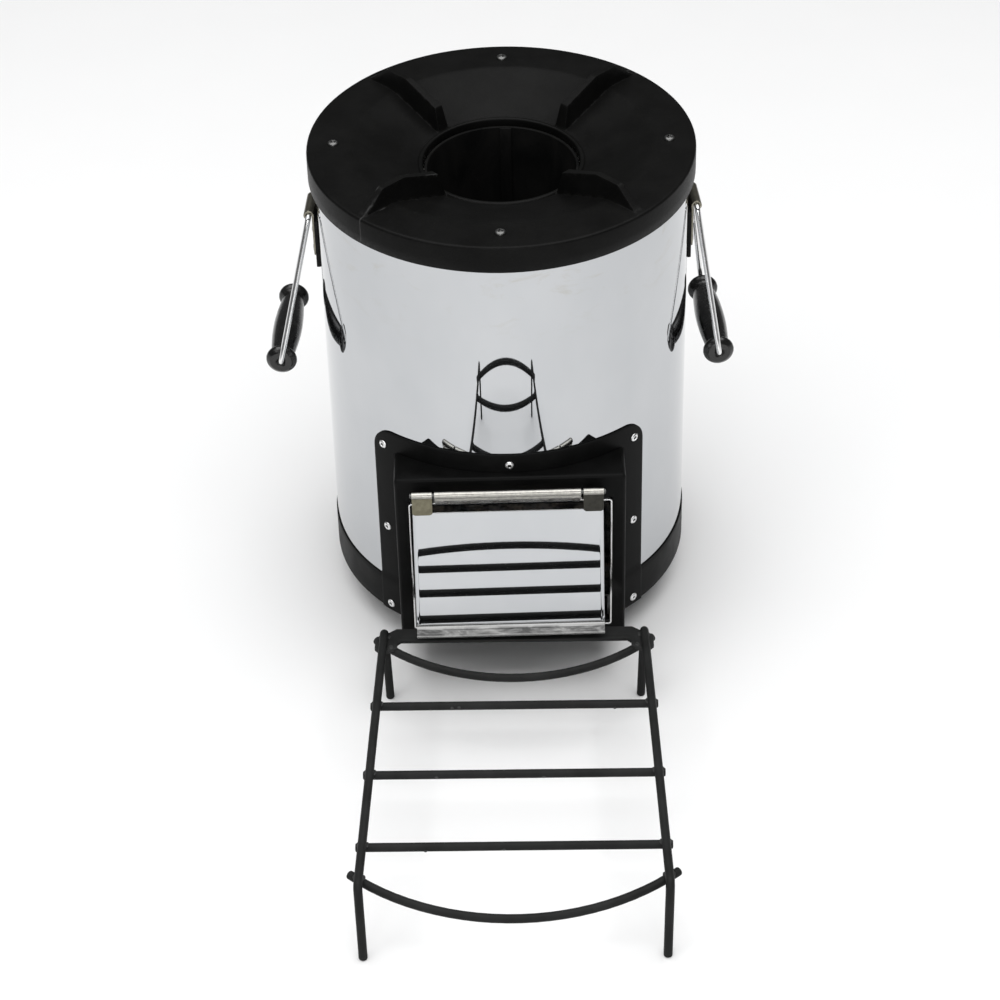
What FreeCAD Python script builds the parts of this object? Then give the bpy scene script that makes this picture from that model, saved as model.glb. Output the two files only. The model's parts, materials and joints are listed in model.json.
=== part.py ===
import FreeCAD, Part
import math
import os

# Rocket stove with a free-standing stick rack, in millimetres.
# Origin: centre of the stove's foot on the ground. +Z is up, the fuel door faces -Y.
# The stove is worked out from the underside of its base pan, then lifted onto its foot.

V = FreeCAD.Vector
UP = V(0, 0, 1)

# ---- driving dimensions ----
LID_R = 135.0            # outer radius of the cast top plate
LID_TOP = 340.5          # height of its flat rim
LID_SKIRT = 20.0         # height of its rim skirt
LID_WALL = 5.0           # casting thickness
LID_EDGE = 2.0           # rounding of the rim's outer edge
RECESS_R = 105.0         # where the sloping recess starts
HOLE_R = 54.7            # flame hole
HOLE_Z = 325.2           # height of the flame hole's lip
COLLAR_DROP = 9.2        # collar below the lip
RIB_TOP = 354.0          # pot level
RIB_HALF_TOP = 2.2       # half thickness of a rib at its top
RIB_DRAFT = 0.093        # half thickness gained per millimetre of depth
RIB_ANGLES = (45, 135, 225, 315)
RIB_FOOT_R = 130.0       # where a rib's outer slope meets the rim
LID_TURN = -1.2          # the top plate is screwed on slightly turned

BODY_R = 130.5           # outside of the polished shell
SHELL_T = 0.8            # shell sheet
PAN_T = 0.8              # wall of the base pan
PAN_FLOOR = 1.2
PAN_H = 30.2
FILL_R = 126.0           # outside of the insulation

SLEEVE_X = 71.5          # half width of the fuel sleeve
SLEEVE_Z0 = 18.0
SLEEVE_Z1 = 133.0
SLEEVE_T = 1.2
SLEEVE_FRONT = -140.0
SLEEVE_BACK = -60.0
GRATE_TOP = 36.0         # shelf that carries the sticks
GRATE_FRONT = -128.0
GRATE_T = 1.5
FIREBOX_T = 2.0
FIREBOX_FRONT = -100.0
FIREBOX_BACK = 66.0
RISER_RI = 52.0
RISER_RO = 54.0
RISER_TOP = 321.0

FRAME_T = 1.2            # sheet of the door frame
FRAME_HALF_ANGLE = 46.3
FRAME_Z0 = 0.6
FRAME_Z1 = 167.3
FRAME_CORNER = 17.0
BOX_X = 81.0             # half width of the frame's raised box
BOX_FRONT = -137.5
BOX_Z0 = 2.1
BOX_Z1 = 152.0
BOX_EDGE = 2.5

RIVET_HEAD_R = 3.2
RIVET_HEAD_H = 1.1
RIVET_SHANK_R = 1.6
RIVET_GRIP = 5.0
FRAME_RIVETS = ((-42.4, 154.3), (-42.4, 80.0), (-42.4, 7.3), (0.0, 158.6),
                (42.4, 7.3), (42.4, 80.0), (42.4, 154.3))

HINGE_Y = -148.5
HINGE_Z = 147.0
HINGE_SHIFT = -1.8       # the hinge and the door sit a little left of the middle
PIN_R = 1.5
KNUCKLE_RI = 1.55
SHEET = 1.0              # sheet of the door and its hinge
KNUCKLE_RO = KNUCKLE_RI + SHEET
LEAF_X = 51.0            # half length of the middle knuckle
DOOR_X = 66.8            # half width of the door
TAB_X = 52.6             # inner side of the door's own knuckles
DOOR_TILT = 12.0         # how far the door hangs open at rest
DOOR_TOP = 14.8          # distance of the panel's top edge from the pin
DOOR_BOTTOM = 105.0      # distance of the lip's fold from the pin
TAB_LAP = 1.4            # how far the door's hinge tabs lie over the panel
LIP_LEN = 9.0

HANDLE_YAW = 4.0         # handles sit this far behind the stove's sides
PIVOT_R = 136.0
PIVOT_Z = 286.0
BAIL_R = 2.0
BAIL_REACH = 107.0       # pivot to grip axis
BARREL_HALF = 13.0
BARREL_RI = 2.1
BRACKET_T = 1.6
BARREL_RO = BARREL_RI + BRACKET_T
BRACKET_Z0 = 250.0
GRIP_HALF = 44.0
GRIP_FLANGE_R = 11.0
GRIP_NECK_R = 7.7
GRIP_BELLY_R = 10.3
HANDLE_TILT = {"left": 12.5, "right": 7.7}

ROD_R = 3.0              # all rods of the rack
RAIL_Z = 60.0
BAR_Z = RAIL_Z - 2 * ROD_R
RAIL_BEND = 4.5
FOOT_NEAR = (90.9, -167.2)
BEND_NEAR = (92.8, -162.6)
BEND_FAR = (100.7, -413.8)
FOOT_FAR = (99.8, -420.7)
CROSSBARS = ((-236.3, 100.0), (-304.8, 102.2), (-372.8, 104.3))
NEAR_ARC = (98.9, -165.8, -208.1)     # half span, y of the ends, y of the middle
FAR_ARC = (107.4, -396.8, -437.6)
RACK_TURN = -1.2         # the rack stands slightly askew in front of the stove
RACK_SHIFT = 3.9
SILL_Z0 = 55.6           # the sill is let in between the near arc and the rails
SILL_T = 3.0
SILL_HALF_OUTLINE = ((84.2, -159.3), (95.3, -167.3), (99.2, -169.7), (99.2, -179.7), (96.3, -183.0),
                     (90.0, -183.0), (83.4, -180.0), (83.2, -174.8), (80.5, -172.2))
SILL_RELIEF = (93.0, -171.5)          # where a rail crosses the near arc
SILL_RELIEF_R = 2.0
BASE_LIFT = 25.0         # height of the pressed foot under the base pan
BASE_FOOT_R = 92.0
BASE_FOOT_T = 1.2

SCREW_CIRCLE_R = 116.5
SCREW_R = 2.0
SCREW_HEAD_R = 3.8


# ---- shared shapes ----
def block(x0, y0, z0, x1, y1, z1):
    return Part.makeBox(x1 - x0, y1 - y0, z1 - z0, V(x0, y0, z0))


def disc(radius, z0, z1):
    return Part.makeCylinder(radius, z1 - z0, V(0, 0, z0))


def ring(outer, inner, z0, z1):
    return disc(outer, z0, z1).cut(disc(inner, z0 - 1, z1 + 1))


def front_sector(outer, inner, z0, z1, half_angle):
    """Part of a ring around the vertical axis, centred on the -Y side."""
    full = Part.makeCylinder(outer, z1 - z0, V(0, 0, z0), UP, 2 * half_angle)
    core = Part.makeCylinder(inner, z1 - z0 + 2, V(0, 0, z0 - 1))
    sector = full.cut(core)
    sector.rotate(V(0, 0, 0), UP, -90 - half_angle)
    return sector


def sheet_profile(points, x0, x1):
    """Closed (y, z) outline carried along X from x0 to x1."""
    outline = Part.makePolygon([V(x0, y, z) for y, z in points + points[:1]])
    return Part.Face(outline).extrude(V(x1 - x0, 0, 0))


def rounded_path(points, bend):
    """Wire of straight runs joined by tangent arcs of one bend radius."""
    edges = []
    start = points[0]
    for before, corner, after in zip(points, points[1:], points[2:]):
        into = (corner - before).normalize()
        out = (after - corner).normalize()
        turn = into.getAngle(out)
        setback = bend * math.tan(turn / 2)
        first = corner - into * setback
        last = corner + out * setback
        inward = (out - into).normalize()
        middle = corner + inward * (bend / math.cos(turn / 2) - bend)
        edges.append(Part.LineSegment(start, first).toShape())
        edges.append(Part.Arc(first, middle, last).toShape())
        start = last
    edges.append(Part.LineSegment(start, points[-1]).toShape())
    return Part.Wire(edges)


def swept_rod(path, radius):
    start = path.Edges[0]
    point = start.valueAt(start.FirstParameter)
    direction = start.tangentAt(start.FirstParameter)
    section = Part.Wire(Part.makeCircle(radius, point, direction))
    return path.makePipeShell([section], True, False)


def bent_rod(points, radius, bend):
    return swept_rod(rounded_path(points, bend), radius)


def blind_rivet(grip):
    """Rivet along +X with its head's seat at the origin and a mandrel pit."""
    dome_r = (RIVET_HEAD_R ** 2 + RIVET_HEAD_H ** 2) / (2 * RIVET_HEAD_H)
    dome = Part.makeSphere(dome_r, V(RIVET_HEAD_H - dome_r, 0, 0))
    head = dome.common(Part.makeCylinder(RIVET_HEAD_R + 1, 5, V(0, 0, 0), V(1, 0, 0)))
    shank = Part.makeCylinder(RIVET_SHANK_R, grip, V(-grip, 0, 0), V(1, 0, 0))
    pit = Part.makeCylinder(0.9, 3, V(-0.6, 0, 0), V(1, 0, 0))
    return head.fuse(shank).cut(pit).removeSplitter()


def turned(shape, angle, centre=V(0, 0, 0), axis=UP):
    copy = shape.copy()
    copy.rotate(centre, axis, angle)
    return copy


def mirrored(shape):
    return shape.mirror(V(0, 0, 0), V(1, 0, 0))


def shifted(shape, x):
    copy = shape.copy()
    copy.translate(V(x, 0, 0))
    return copy


# ---- top plate ----
def lid_dish():
    """Cast disc with a rim skirt, a sloping recess and a collared flame hole."""
    skirt_in = BODY_R + 0.5
    collar_r = HOLE_R + 4
    bottom = LID_TOP - LID_SKIRT
    edge_mid = LID_EDGE * (1 - math.sqrt(0.5))
    corner = [V(LID_R, 0, LID_TOP - LID_EDGE), V(LID_R - edge_mid, 0, LID_TOP - edge_mid),
              V(LID_R - LID_EDGE, 0, LID_TOP)]
    lip = [V(HOLE_R + 3.4, 0, HOLE_Z), V(HOLE_R + 1.7, 0, HOLE_Z + 1.3), V(HOLE_R, 0, HOLE_Z)]
    runs = [V(HOLE_R, 0, HOLE_Z), V(HOLE_R, 0, HOLE_Z - COLLAR_DROP), V(collar_r, 0, HOLE_Z - COLLAR_DROP),
            V(collar_r, 0, HOLE_Z - LID_WALL), V(RECESS_R, 0, LID_TOP - LID_WALL),
            V(skirt_in, 0, LID_TOP - LID_WALL), V(skirt_in, 0, bottom), V(LID_R, 0, bottom), corner[0]]
    edges = [Part.LineSegment(a, b).toShape() for a, b in zip(runs, runs[1:])]
    edges.append(Part.Arc(*corner).toShape())
    edges.append(Part.LineSegment(corner[2], V(RECESS_R, 0, LID_TOP)).toShape())
    edges.append(Part.LineSegment(V(RECESS_R, 0, LID_TOP), lip[0]).toShape())
    edges.append(Part.Arc(*lip).toShape())
    return Part.Face(Part.Wire(edges)).revolve(V(0, 0, 0), UP, 360)


def pot_rib():
    """One pot support along +X: rises from the rim, runs level, then falls to the flame hole."""
    deep = HOLE_Z - LID_WALL + 1.5
    side = [(RIB_FOOT_R + 0.5, LID_TOP - 1.5), (RIB_FOOT_R, LID_TOP), (113.0, RIB_TOP), (93.0, RIB_TOP),
            (62.5, 343.0), (58.0, HOLE_Z), (58.4, deep), (RECESS_R, LID_TOP - 3.5)]
    outline = Part.makePolygon([V(r, -15, z) for r, z in side + side[:1]])
    slab = Part.Face(outline).extrude(V(0, 30, 0))
    low = deep - 1
    half_low = RIB_HALF_TOP + RIB_DRAFT * (RIB_TOP - low)
    section = [(-half_low, low), (half_low, low), (RIB_HALF_TOP, RIB_TOP), (-RIB_HALF_TOP, RIB_TOP)]
    wedge_face = Part.makePolygon([V(50, y, z) for y, z in section + section[:1]])
    wedge = Part.Face(wedge_face).extrude(V(90, 0, 0))
    return slab.common(wedge)


def top_plate():
    plate = lid_dish()
    for angle in RIB_ANGLES:
        plate = plate.fuse(turned(pot_rib(), angle))
    for angle in (0, 90, 180, 270):
        hole = Part.makeCylinder(SCREW_R + 0.25, 20, V(SCREW_CIRCLE_R, 0, LID_TOP - 12))
        plate = plate.cut(turned(hole, angle))
    return plate.removeSplitter()


def lid_screw():
    """Pan-head machine screw with a cross recess, standing at radius SCREW_CIRCLE_R."""
    height = 2.0
    head = Part.makeCylinder(SCREW_HEAD_R, height, V(SCREW_CIRCLE_R, 0, LID_TOP))
    rim = [e for e in head.Edges if abs(e.BoundBox.ZMin - LID_TOP - height) < 0.01 and e.Closed]
    head = head.makeFillet(1.3, rim)
    shank = Part.makeCylinder(SCREW_R, 14, V(SCREW_CIRCLE_R, 0, LID_TOP - 14))
    screw = head.fuse(shank)
    z0, z1 = LID_TOP + 0.8, LID_TOP + 3
    long_slot = block(SCREW_CIRCLE_R - 2.2, -0.45, z0, SCREW_CIRCLE_R + 2.2, 0.45, z1)
    cross_slot = block(SCREW_CIRCLE_R - 0.45, -2.2, z0, SCREW_CIRCLE_R + 0.45, 2.2, z1)
    return screw.cut(long_slot.fuse(cross_slot)).removeSplitter()


def lid_tab():
    """Angle spot-welded inside the shell, which the screw pulls the top plate down onto."""
    top = LID_TOP - LID_WALL
    flange = block(SCREW_CIRCLE_R - 9, -10, top - 2.5, BODY_R, 10, top)
    leg = block(BODY_R - SHELL_T - 4, -10, top - 20, BODY_R, 10, top)
    inside = disc(BODY_R - SHELL_T, top - 30, top + 5)
    hollow = disc(BODY_R - SHELL_T - 2.5, top - 30, top - 2.5)
    tab = leg.cut(hollow).fuse(flange).common(inside)
    hole = Part.makeCylinder(SCREW_R, 20, V(SCREW_CIRCLE_R, 0, top - 15))
    return tab.cut(hole).removeSplitter()


def lid_nut():
    top = LID_TOP - LID_WALL - 2.5
    corner_r = 3.5 / math.cos(math.radians(30))
    points = []
    for k in range(7):
        a = math.radians(60 * k)
        points.append(V(SCREW_CIRCLE_R + corner_r * math.cos(a), corner_r * math.sin(a), top - 3.2))
    nut = Part.Face(Part.makePolygon(points)).extrude(V(0, 0, 3.2))
    return nut.cut(Part.makeCylinder(SCREW_R, 10, V(SCREW_CIRCLE_R, 0, top - 6)))


def four_times(shape):
    return Part.makeCompound([turned(shape, angle) for angle in (0, 90, 180, 270)])


# ---- rivets and the holes that they need ----
def frame_rivet(angle, z):
    seat = BODY_R + PAN_T + FRAME_T if z < PAN_H else BODY_R + FRAME_T
    rivet = blind_rivet(RIVET_GRIP)
    rivet.translate(V(seat, 0, z))
    return turned(rivet, angle - 90)


def frame_rivet_hole(angle, z):
    hole = Part.makeCylinder(RIVET_SHANK_R, 20, V(BODY_R - 10, 0, z), V(1, 0, 0))
    return turned(hole, angle - 90)


def handle_rivet_spots():
    return [(u, z) for u in (-8.0, 8.0) for z in (257.0, 272.0)]


def handle_rivets():
    """Four rivets of the right handle, in its unturned frame."""
    rivets = []
    for u, z in handle_rivet_spots():
        rivet = blind_rivet(RIVET_GRIP + 2)
        rivet.translate(V(bracket_front(), u, z))
        rivets.append(rivet)
    return Part.makeCompound(rivets)


def handle_rivet_holes():
    holes = []
    for u, z in handle_rivet_spots():
        holes.append(Part.makeCylinder(RIVET_SHANK_R, 30, V(BODY_R - 15, u, z), V(1, 0, 0)))
    return Part.makeCompound(holes)


# ---- body ----
def firebox_space(front):
    """Room taken by the firebox and the sleeve, from the given front face back."""
    grow = FIREBOX_T
    return block(-SLEEVE_X - grow, front, SLEEVE_Z0 - grow,
                 SLEEVE_X + grow, FIREBOX_BACK, SLEEVE_Z1 + grow)


def all_rivet_holes():
    holes = [frame_rivet_hole(a, z) for a, z in FRAME_RIVETS]
    right = turned(handle_rivet_holes(), HANDLE_YAW)
    return Part.makeCompound(holes + [right, mirrored(right)])


def outer_shell():
    """Rolled sheet with a lapped seam down the back and a window for the fuel sleeve."""
    shell = ring(BODY_R, BODY_R - SHELL_T, PAN_FLOOR, LID_TOP - LID_WALL)
    seam = front_sector(BODY_R + SHELL_T, BODY_R - 0.1, PAN_H, LID_TOP - LID_SKIRT - 0.3, 2.4)
    shell = shell.fuse(turned(seam, 180))
    return shell.cut(firebox_space(-150)).cut(all_rivet_holes()).removeSplitter()


def base_pan():
    wall = ring(BODY_R + PAN_T, BODY_R, 0, PAN_H)
    pan = wall.fuse(disc(BODY_R + PAN_T, 0, PAN_FLOOR))
    return pan.cut(firebox_space(-150)).cut(all_rivet_holes()).removeSplitter()


def base_foot():
    """Round pressed foot welded under the pan: a flat bottom, a wall and a turned-out rim."""
    bottom = disc(BASE_FOOT_R, -BASE_LIFT, -BASE_LIFT + BASE_FOOT_T)
    low_edge = [e for e in bottom.Edges if e.BoundBox.ZMax < 0.1 - BASE_LIFT and e.BoundBox.XLength > 1]
    wall = ring(BASE_FOOT_R, BASE_FOOT_R - BASE_FOOT_T, -BASE_LIFT, 0)
    rim = ring(BASE_FOOT_R + 8, BASE_FOOT_R - BASE_FOOT_T, -BASE_FOOT_T, 0)
    return bottom.makeFillet(1.0, low_edge).fuse(wall).fuse(rim).removeSplitter()


def frame_plate():
    """Flange that wraps the body, joggled out over the base pan."""
    upper = front_sector(BODY_R + FRAME_T, BODY_R, PAN_H, FRAME_Z1, FRAME_HALF_ANGLE)
    seat = BODY_R + PAN_T
    lower = front_sector(seat + FRAME_T, seat, FRAME_Z0, PAN_H + FRAME_T, FRAME_HALF_ANGLE)
    lower = lower.cut(disc(BODY_R, 0, 60))
    plate = upper.fuse(lower)
    half_width = BODY_R * math.sin(math.radians(FRAME_HALF_ANGLE))
    for side in (-1, 1):
        x = side * (half_width - FRAME_CORNER)
        corner = block(min(x, x + side * 40), -150, FRAME_Z1 - FRAME_CORNER, max(x, x + side * 40), -60, 200)
        keep = Part.makeCylinder(FRAME_CORNER, 200, V(x, -200, FRAME_Z1 - FRAME_CORNER), V(0, 1, 0))
        plate = plate.cut(corner.cut(keep))
    return plate


def door_frame():
    """Wrapping flange with a raised box around the fuel opening, pressed from one sheet."""
    outer = block(-BOX_X, BOX_FRONT, BOX_Z0, BOX_X, -80, BOX_Z1)
    front_edges = [e for e in outer.Edges if e.BoundBox.YMin < BOX_FRONT + 0.1]
    outer = outer.makeFillet(BOX_EDGE, [e for e in front_edges if e.BoundBox.YMax < BOX_FRONT + 0.1])
    t = FRAME_T
    hollow = block(-BOX_X + t, BOX_FRONT + t, BOX_Z0 + t, BOX_X - t, -70, BOX_Z1 - t)
    box_walls = outer.cut(hollow).cut(disc(BODY_R, PAN_H, 200)).cut(disc(BODY_R + PAN_T, -1, PAN_H))
    plate = frame_plate().cut(hollow)
    opening = block(-SLEEVE_X, -160, SLEEVE_Z0, SLEEVE_X, BOX_FRONT + 5, SLEEVE_Z1)
    holes = Part.makeCompound([frame_rivet_hole(a, z) for a, z in FRAME_RIVETS])
    return plate.fuse(box_walls).cut(opening).cut(holes).removeSplitter()


def fuel_sleeve():
    """Thin stainless tunnel with an upstand along its front top edge for the hinge leaf."""
    t = SLEEVE_T
    tube = block(-SLEEVE_X, SLEEVE_FRONT, SLEEVE_Z0, SLEEVE_X, SLEEVE_BACK, SLEEVE_Z1)
    bore = block(-SLEEVE_X + t, SLEEVE_FRONT - 5, SLEEVE_Z0 + t,
                 SLEEVE_X - t, SLEEVE_BACK + 5, SLEEVE_Z1 - t)
    upstand = block(-LEAF_X - 3, BOX_FRONT - t, SLEEVE_Z1 - t, LEAF_X + 3, BOX_FRONT, HINGE_Z - 6)
    return tube.cut(bore).fuse(upstand).removeSplitter()


def firebox():
    """Steel box behind the sleeve, open at the front, with the riser's hole in its roof."""
    inner = block(-SLEEVE_X, -200, SLEEVE_Z0, SLEEVE_X, FIREBOX_BACK - FIREBOX_T, SLEEVE_Z1)
    return firebox_space(FIREBOX_FRONT).cut(inner).cut(disc(RISER_RI, 100, 200))


def riser_tube():
    """Round combustion chimney, rolled with a lapped seam at the back."""
    tube = ring(RISER_RO, RISER_RI, SLEEVE_Z1 + FIREBOX_T, RISER_TOP)
    seam = front_sector(RISER_RI + 0.2, RISER_RI - 1.2, SLEEVE_Z1 + FIREBOX_T, RISER_TOP, 4.5)
    return tube.fuse(turned(seam, 176)).removeSplitter()


def lower_insulation():
    fill = disc(FILL_R, SLEEVE_Z0 - FIREBOX_T, SLEEVE_Z1 + FIREBOX_T)
    return fill.cut(firebox_space(-150))


def upper_insulation():
    return ring(FILL_R, RISER_RO, SLEEVE_Z1 + FIREBOX_T, HOLE_Z - COLLAR_DROP - 6)


def riser_gasket():
    bottom = HOLE_Z - COLLAR_DROP - 6
    return ring(HOLE_R + 4, RISER_RO, bottom, bottom + 6)


def base_board():
    return disc(FILL_R, PAN_FLOOR, SLEEVE_Z0 - FIREBOX_T)


def hearth_plate():
    """Cast plate under the fire with shallow ribs."""
    floor = SLEEVE_Z0
    plate = block(-66, -56, floor, 66, FIREBOX_BACK - FIREBOX_T - 1, floor + 4)
    for x in range(-54, 55, 18):
        plate = plate.cut(block(x - 4, -48, floor + 2.5, x + 4, 55, floor + 6))
    return plate


def fuel_grate():
    """Slotted shelf that carries the sticks and lets air pass under them."""
    half = SLEEVE_X - SLEEVE_T
    deck = block(-half, GRATE_FRONT, GRATE_TOP - GRATE_T, half, -20, GRATE_TOP)
    for x in range(-56, 57, 14):
        deck = deck.cut(block(x - 4, GRATE_FRONT + 10, GRATE_TOP - 5, x + 4, -30, GRATE_TOP + 5))
    return deck


def grate_leg(sign):
    """Strip that stands on the sleeve's floor beside its wall and carries the shelf."""
    half = SLEEVE_X - SLEEVE_T
    inner, outer = sorted((sign * (half - GRATE_T), sign * half))
    return block(inner, GRATE_FRONT, SLEEVE_Z0 + SLEEVE_T, outer, -62, GRATE_TOP - GRATE_T)


# ---- fuel door ----
def hinge_leaf():
    """Middle knuckle with its leaf, spot-welded to the sleeve's upstand."""
    knuckle = tube_x(KNUCKLE_RO, KNUCKLE_RI, -LEAF_X, LEAF_X)
    back = HINGE_Y + KNUCKLE_RO
    foot = BOX_FRONT - SLEEVE_T
    shelf_z = HINGE_Z - 7.5
    outline = [(back - SHEET, HINGE_Z), (back - SHEET, shelf_z), (foot - SHEET, shelf_z),
               (foot - SHEET, SLEEVE_Z1 + 1), (foot, SLEEVE_Z1 + 1), (foot, shelf_z + SHEET),
               (back, shelf_z + SHEET), (back, HINGE_Z)]
    leaf = sheet_profile(outline, -LEAF_X, LEAF_X)
    return leaf.fuse(knuckle).cut(rod_x(KNUCKLE_RI, -LEAF_X - 1, LEAF_X + 1)).removeSplitter()


def rod_x(radius, x0, x1):
    return Part.makeCylinder(radius, x1 - x0, V(x0, HINGE_Y, HINGE_Z), V(1, 0, 0))


def tube_x(outer, inner, x0, x1):
    return rod_x(outer, x0, x1).cut(rod_x(inner, x0 - 1, x1 + 1))


def hinge_pin():
    head = rod_x(PIN_R + 0.8, DOOR_X + 0.35, DOOR_X + 1.35)
    tail = rod_x(PIN_R + 0.8, -DOOR_X - 1.35, -DOOR_X - 0.35)
    return rod_x(PIN_R, -DOOR_X - 1.35, DOOR_X + 1.35).fuse(head).fuse(tail).removeSplitter()


def hang(shape):
    """Swings something built hanging straight down out to the door's rest position."""
    return turned(shape, -DOOR_TILT, V(0, HINGE_Y, HINGE_Z), V(1, 0, 0))


def door_tab(sign):
    """Plated hinge half: a knuckle and the strap that is welded onto the front of the panel."""
    back = HINGE_Y + KNUCKLE_RO
    x0, x1 = sorted((sign * TAB_X, sign * DOOR_X))
    low = HINGE_Z - DOOR_TOP - TAB_LAP
    strap = block(x0, back - SHEET, low, x1, back, HINGE_Z)
    corners = [e for e in strap.Edges if e.BoundBox.ZMax < low + 0.1 and e.BoundBox.YLength > 0.5]
    strap = strap.makeFillet(2, corners)
    bore = rod_x(KNUCKLE_RI, x0 - 1, x1 + 1)
    return hang(strap.fuse(rod_x(KNUCKLE_RO, x0, x1)).cut(bore).removeSplitter())


def fuel_door():
    """Hanging panel with folded sides and a flared lip."""
    front = HINGE_Y + KNUCKLE_RO
    back = front + SHEET
    fold = HINGE_Z - DOOR_BOTTOM
    top = HINGE_Z - DOOR_TOP
    run = LIP_LEN * math.sqrt(0.5)
    nip = SHEET * (math.sqrt(2) - 1)
    outline = [(back, top), (back, fold), (back - run, fold - run), (back - run - 0.8, fold - run - 0.2),
               (back - run - 0.9, fold - run + 1.2), (front, fold + nip), (front, top)]
    door = sheet_profile(outline, -DOOR_X, DOOR_X)
    for side in (-1, 1):
        x0, x1 = sorted((side * DOOR_X, side * (DOOR_X - SHEET)))
        door = door.fuse(block(x0, front, fold + 1, x1, back + 2.5, top - 3))
    return hang(door.removeSplitter())


# ---- handles, built for the right side in an unturned frame ----
def bracket_front():
    return PIVOT_R - BARREL_RO + BRACKET_T


def handle_bracket():
    """Zinc-plated plate whose top is rolled around the bail."""
    back = PIVOT_R - BARREL_RO
    plate = block(back, -BARREL_HALF, BRACKET_Z0, back + BRACKET_T, BARREL_HALF, PIVOT_Z)
    low_edges = [e for e in plate.Edges if e.BoundBox.ZMax < BRACKET_Z0 + 0.1 and e.BoundBox.XLength > 1]
    plate = plate.makeFillet(6, low_edges)
    start = V(PIVOT_R, -BARREL_HALF, PIVOT_Z)
    along = V(0, 1, 0)
    barrel = Part.makeCylinder(BARREL_RO, 2 * BARREL_HALF, start, along)
    bore = Part.makeCylinder(BARREL_RI, 2 * BARREL_HALF + 2, start - along, along)
    return plate.fuse(barrel).cut(bore).cut(handle_rivet_holes()).removeSplitter()


def handle_pad():
    """Black packing plate between the flat bracket and the round body."""
    pad = block(BODY_R - 6, -16, BRACKET_Z0 - 5, PIVOT_R - BARREL_RO, 16, PIVOT_Z - 4)
    return pad.cut(disc(BODY_R, 200, 400)).cut(handle_rivet_holes())


def handle_bail(tilt):
    """Wire loop: through the bracket's barrel, down two splayed arms, into the grip."""
    z = PIVOT_Z
    low = z - BAIL_REACH
    top_u = BARREL_HALF + 2.7
    low_u = GRIP_HALF + 2.6
    points = [V(PIVOT_R, -3, low), V(PIVOT_R, -low_u, low), V(PIVOT_R, -top_u, z), V(PIVOT_R, top_u, z),
              V(PIVOT_R, low_u, low), V(PIVOT_R, 3, low)]
    bail = bent_rod(points, BAIL_R, 3.2)
    return turned(bail, -tilt, V(PIVOT_R, 0, z), V(0, 1, 0))


def handle_grip(tilt):
    """Turned grip: a rounded flange at each end and a swelling belly between two necks."""
    low = PIVOT_Z - BAIL_REACH
    neck_u = GRIP_HALF - 9.5
    bulb_u = GRIP_HALF - 4.2
    end = [V(GRIP_HALF, GRIP_FLANGE_R - 4.5, 0), V(GRIP_HALF - 0.9, GRIP_FLANGE_R - 1.6, 0),
           V(bulb_u, GRIP_FLANGE_R, 0), V(GRIP_HALF - 7.2, GRIP_FLANGE_R - 1.5, 0),
           V(neck_u, GRIP_NECK_R, 0)]
    belly = [V(neck_u - 6, GRIP_NECK_R + 0.6, 0), V(14, GRIP_BELLY_R - 0.5, 0), V(0, GRIP_BELLY_R, 0)]
    half = end + belly
    mirrored_half = [V(-p.x, p.y, 0) for p in reversed(half[:-1])]
    curve = Part.BSplineCurve()
    curve.interpolate(half + mirrored_half)
    bore_r = BAIL_R + 0.05
    corners = [V(-GRIP_HALF, GRIP_FLANGE_R - 4.5, 0), V(-GRIP_HALF, bore_r, 0), V(GRIP_HALF, bore_r, 0),
               V(GRIP_HALF, GRIP_FLANGE_R - 4.5, 0)]
    edges = [curve.toShape()] + [Part.LineSegment(a, b).toShape() for a, b in zip(corners, corners[1:])]
    grip = Part.Face(Part.Wire(edges)).revolve(V(0, 0, 0), V(1, 0, 0), 360)
    grip.rotate(V(0, 0, 0), UP, 90)
    grip.translate(V(PIVOT_R, 0, low))
    return turned(grip, -tilt, V(PIVOT_R, 0, PIVOT_Z), V(0, 1, 0))


def place_handle(shape, side):
    right = turned(shape, HANDLE_YAW)
    return right if side == "right" else mirrored(right)


# ---- stick rack ----
def side_rail(side):
    """One rod bent into two legs and a rail."""
    points = [V(side * FOOT_NEAR[0], FOOT_NEAR[1], 0), V(side * BEND_NEAR[0], BEND_NEAR[1], RAIL_Z),
              V(side * BEND_FAR[0], BEND_FAR[1], RAIL_Z), V(side * FOOT_FAR[0], FOOT_FAR[1], 0)]
    rod = bent_rod(points, ROD_R, RAIL_BEND)
    return rod.common(block(-200, -600, 0, 200, 0, 200))


def crossbar(y, half):
    bar = Part.makeCylinder(ROD_R, 2 * half, V(-half, y, BAR_Z), V(1, 0, 0))
    return bar.makeFillet(1.0, [e for e in bar.Edges if e.Closed and e.BoundBox.XLength < 0.1])


def arc_rod(half, y_end, y_mid):
    arc = Part.Arc(V(-half, y_end, BAR_Z), V(0, y_mid, BAR_Z), V(half, y_end, BAR_Z))
    return swept_rod(Part.Wire([arc.toShape()]), ROD_R)


def rack_sill(rods):
    """Flat strip across the near end, round both near legs and against the near arc."""
    right = list(SILL_HALF_OUTLINE)
    left = [(-x, y) for x, y in reversed(right)]
    points = [V(x, y, SILL_Z0) for x, y in right + left + right[:1]]
    plate = Part.Face(Part.makePolygon(points)).extrude(V(0, 0, SILL_T))
    x, y = SILL_RELIEF
    reliefs = [Part.makeCylinder(SILL_RELIEF_R, 20, V(side * x, y, SILL_Z0 - 5)) for side in (-1, 1)]
    for cutter in list(rods) + reliefs:
        plate = plate.cut(cutter)
    return max(plate.Solids, key=lambda s: s.Volume)


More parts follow.
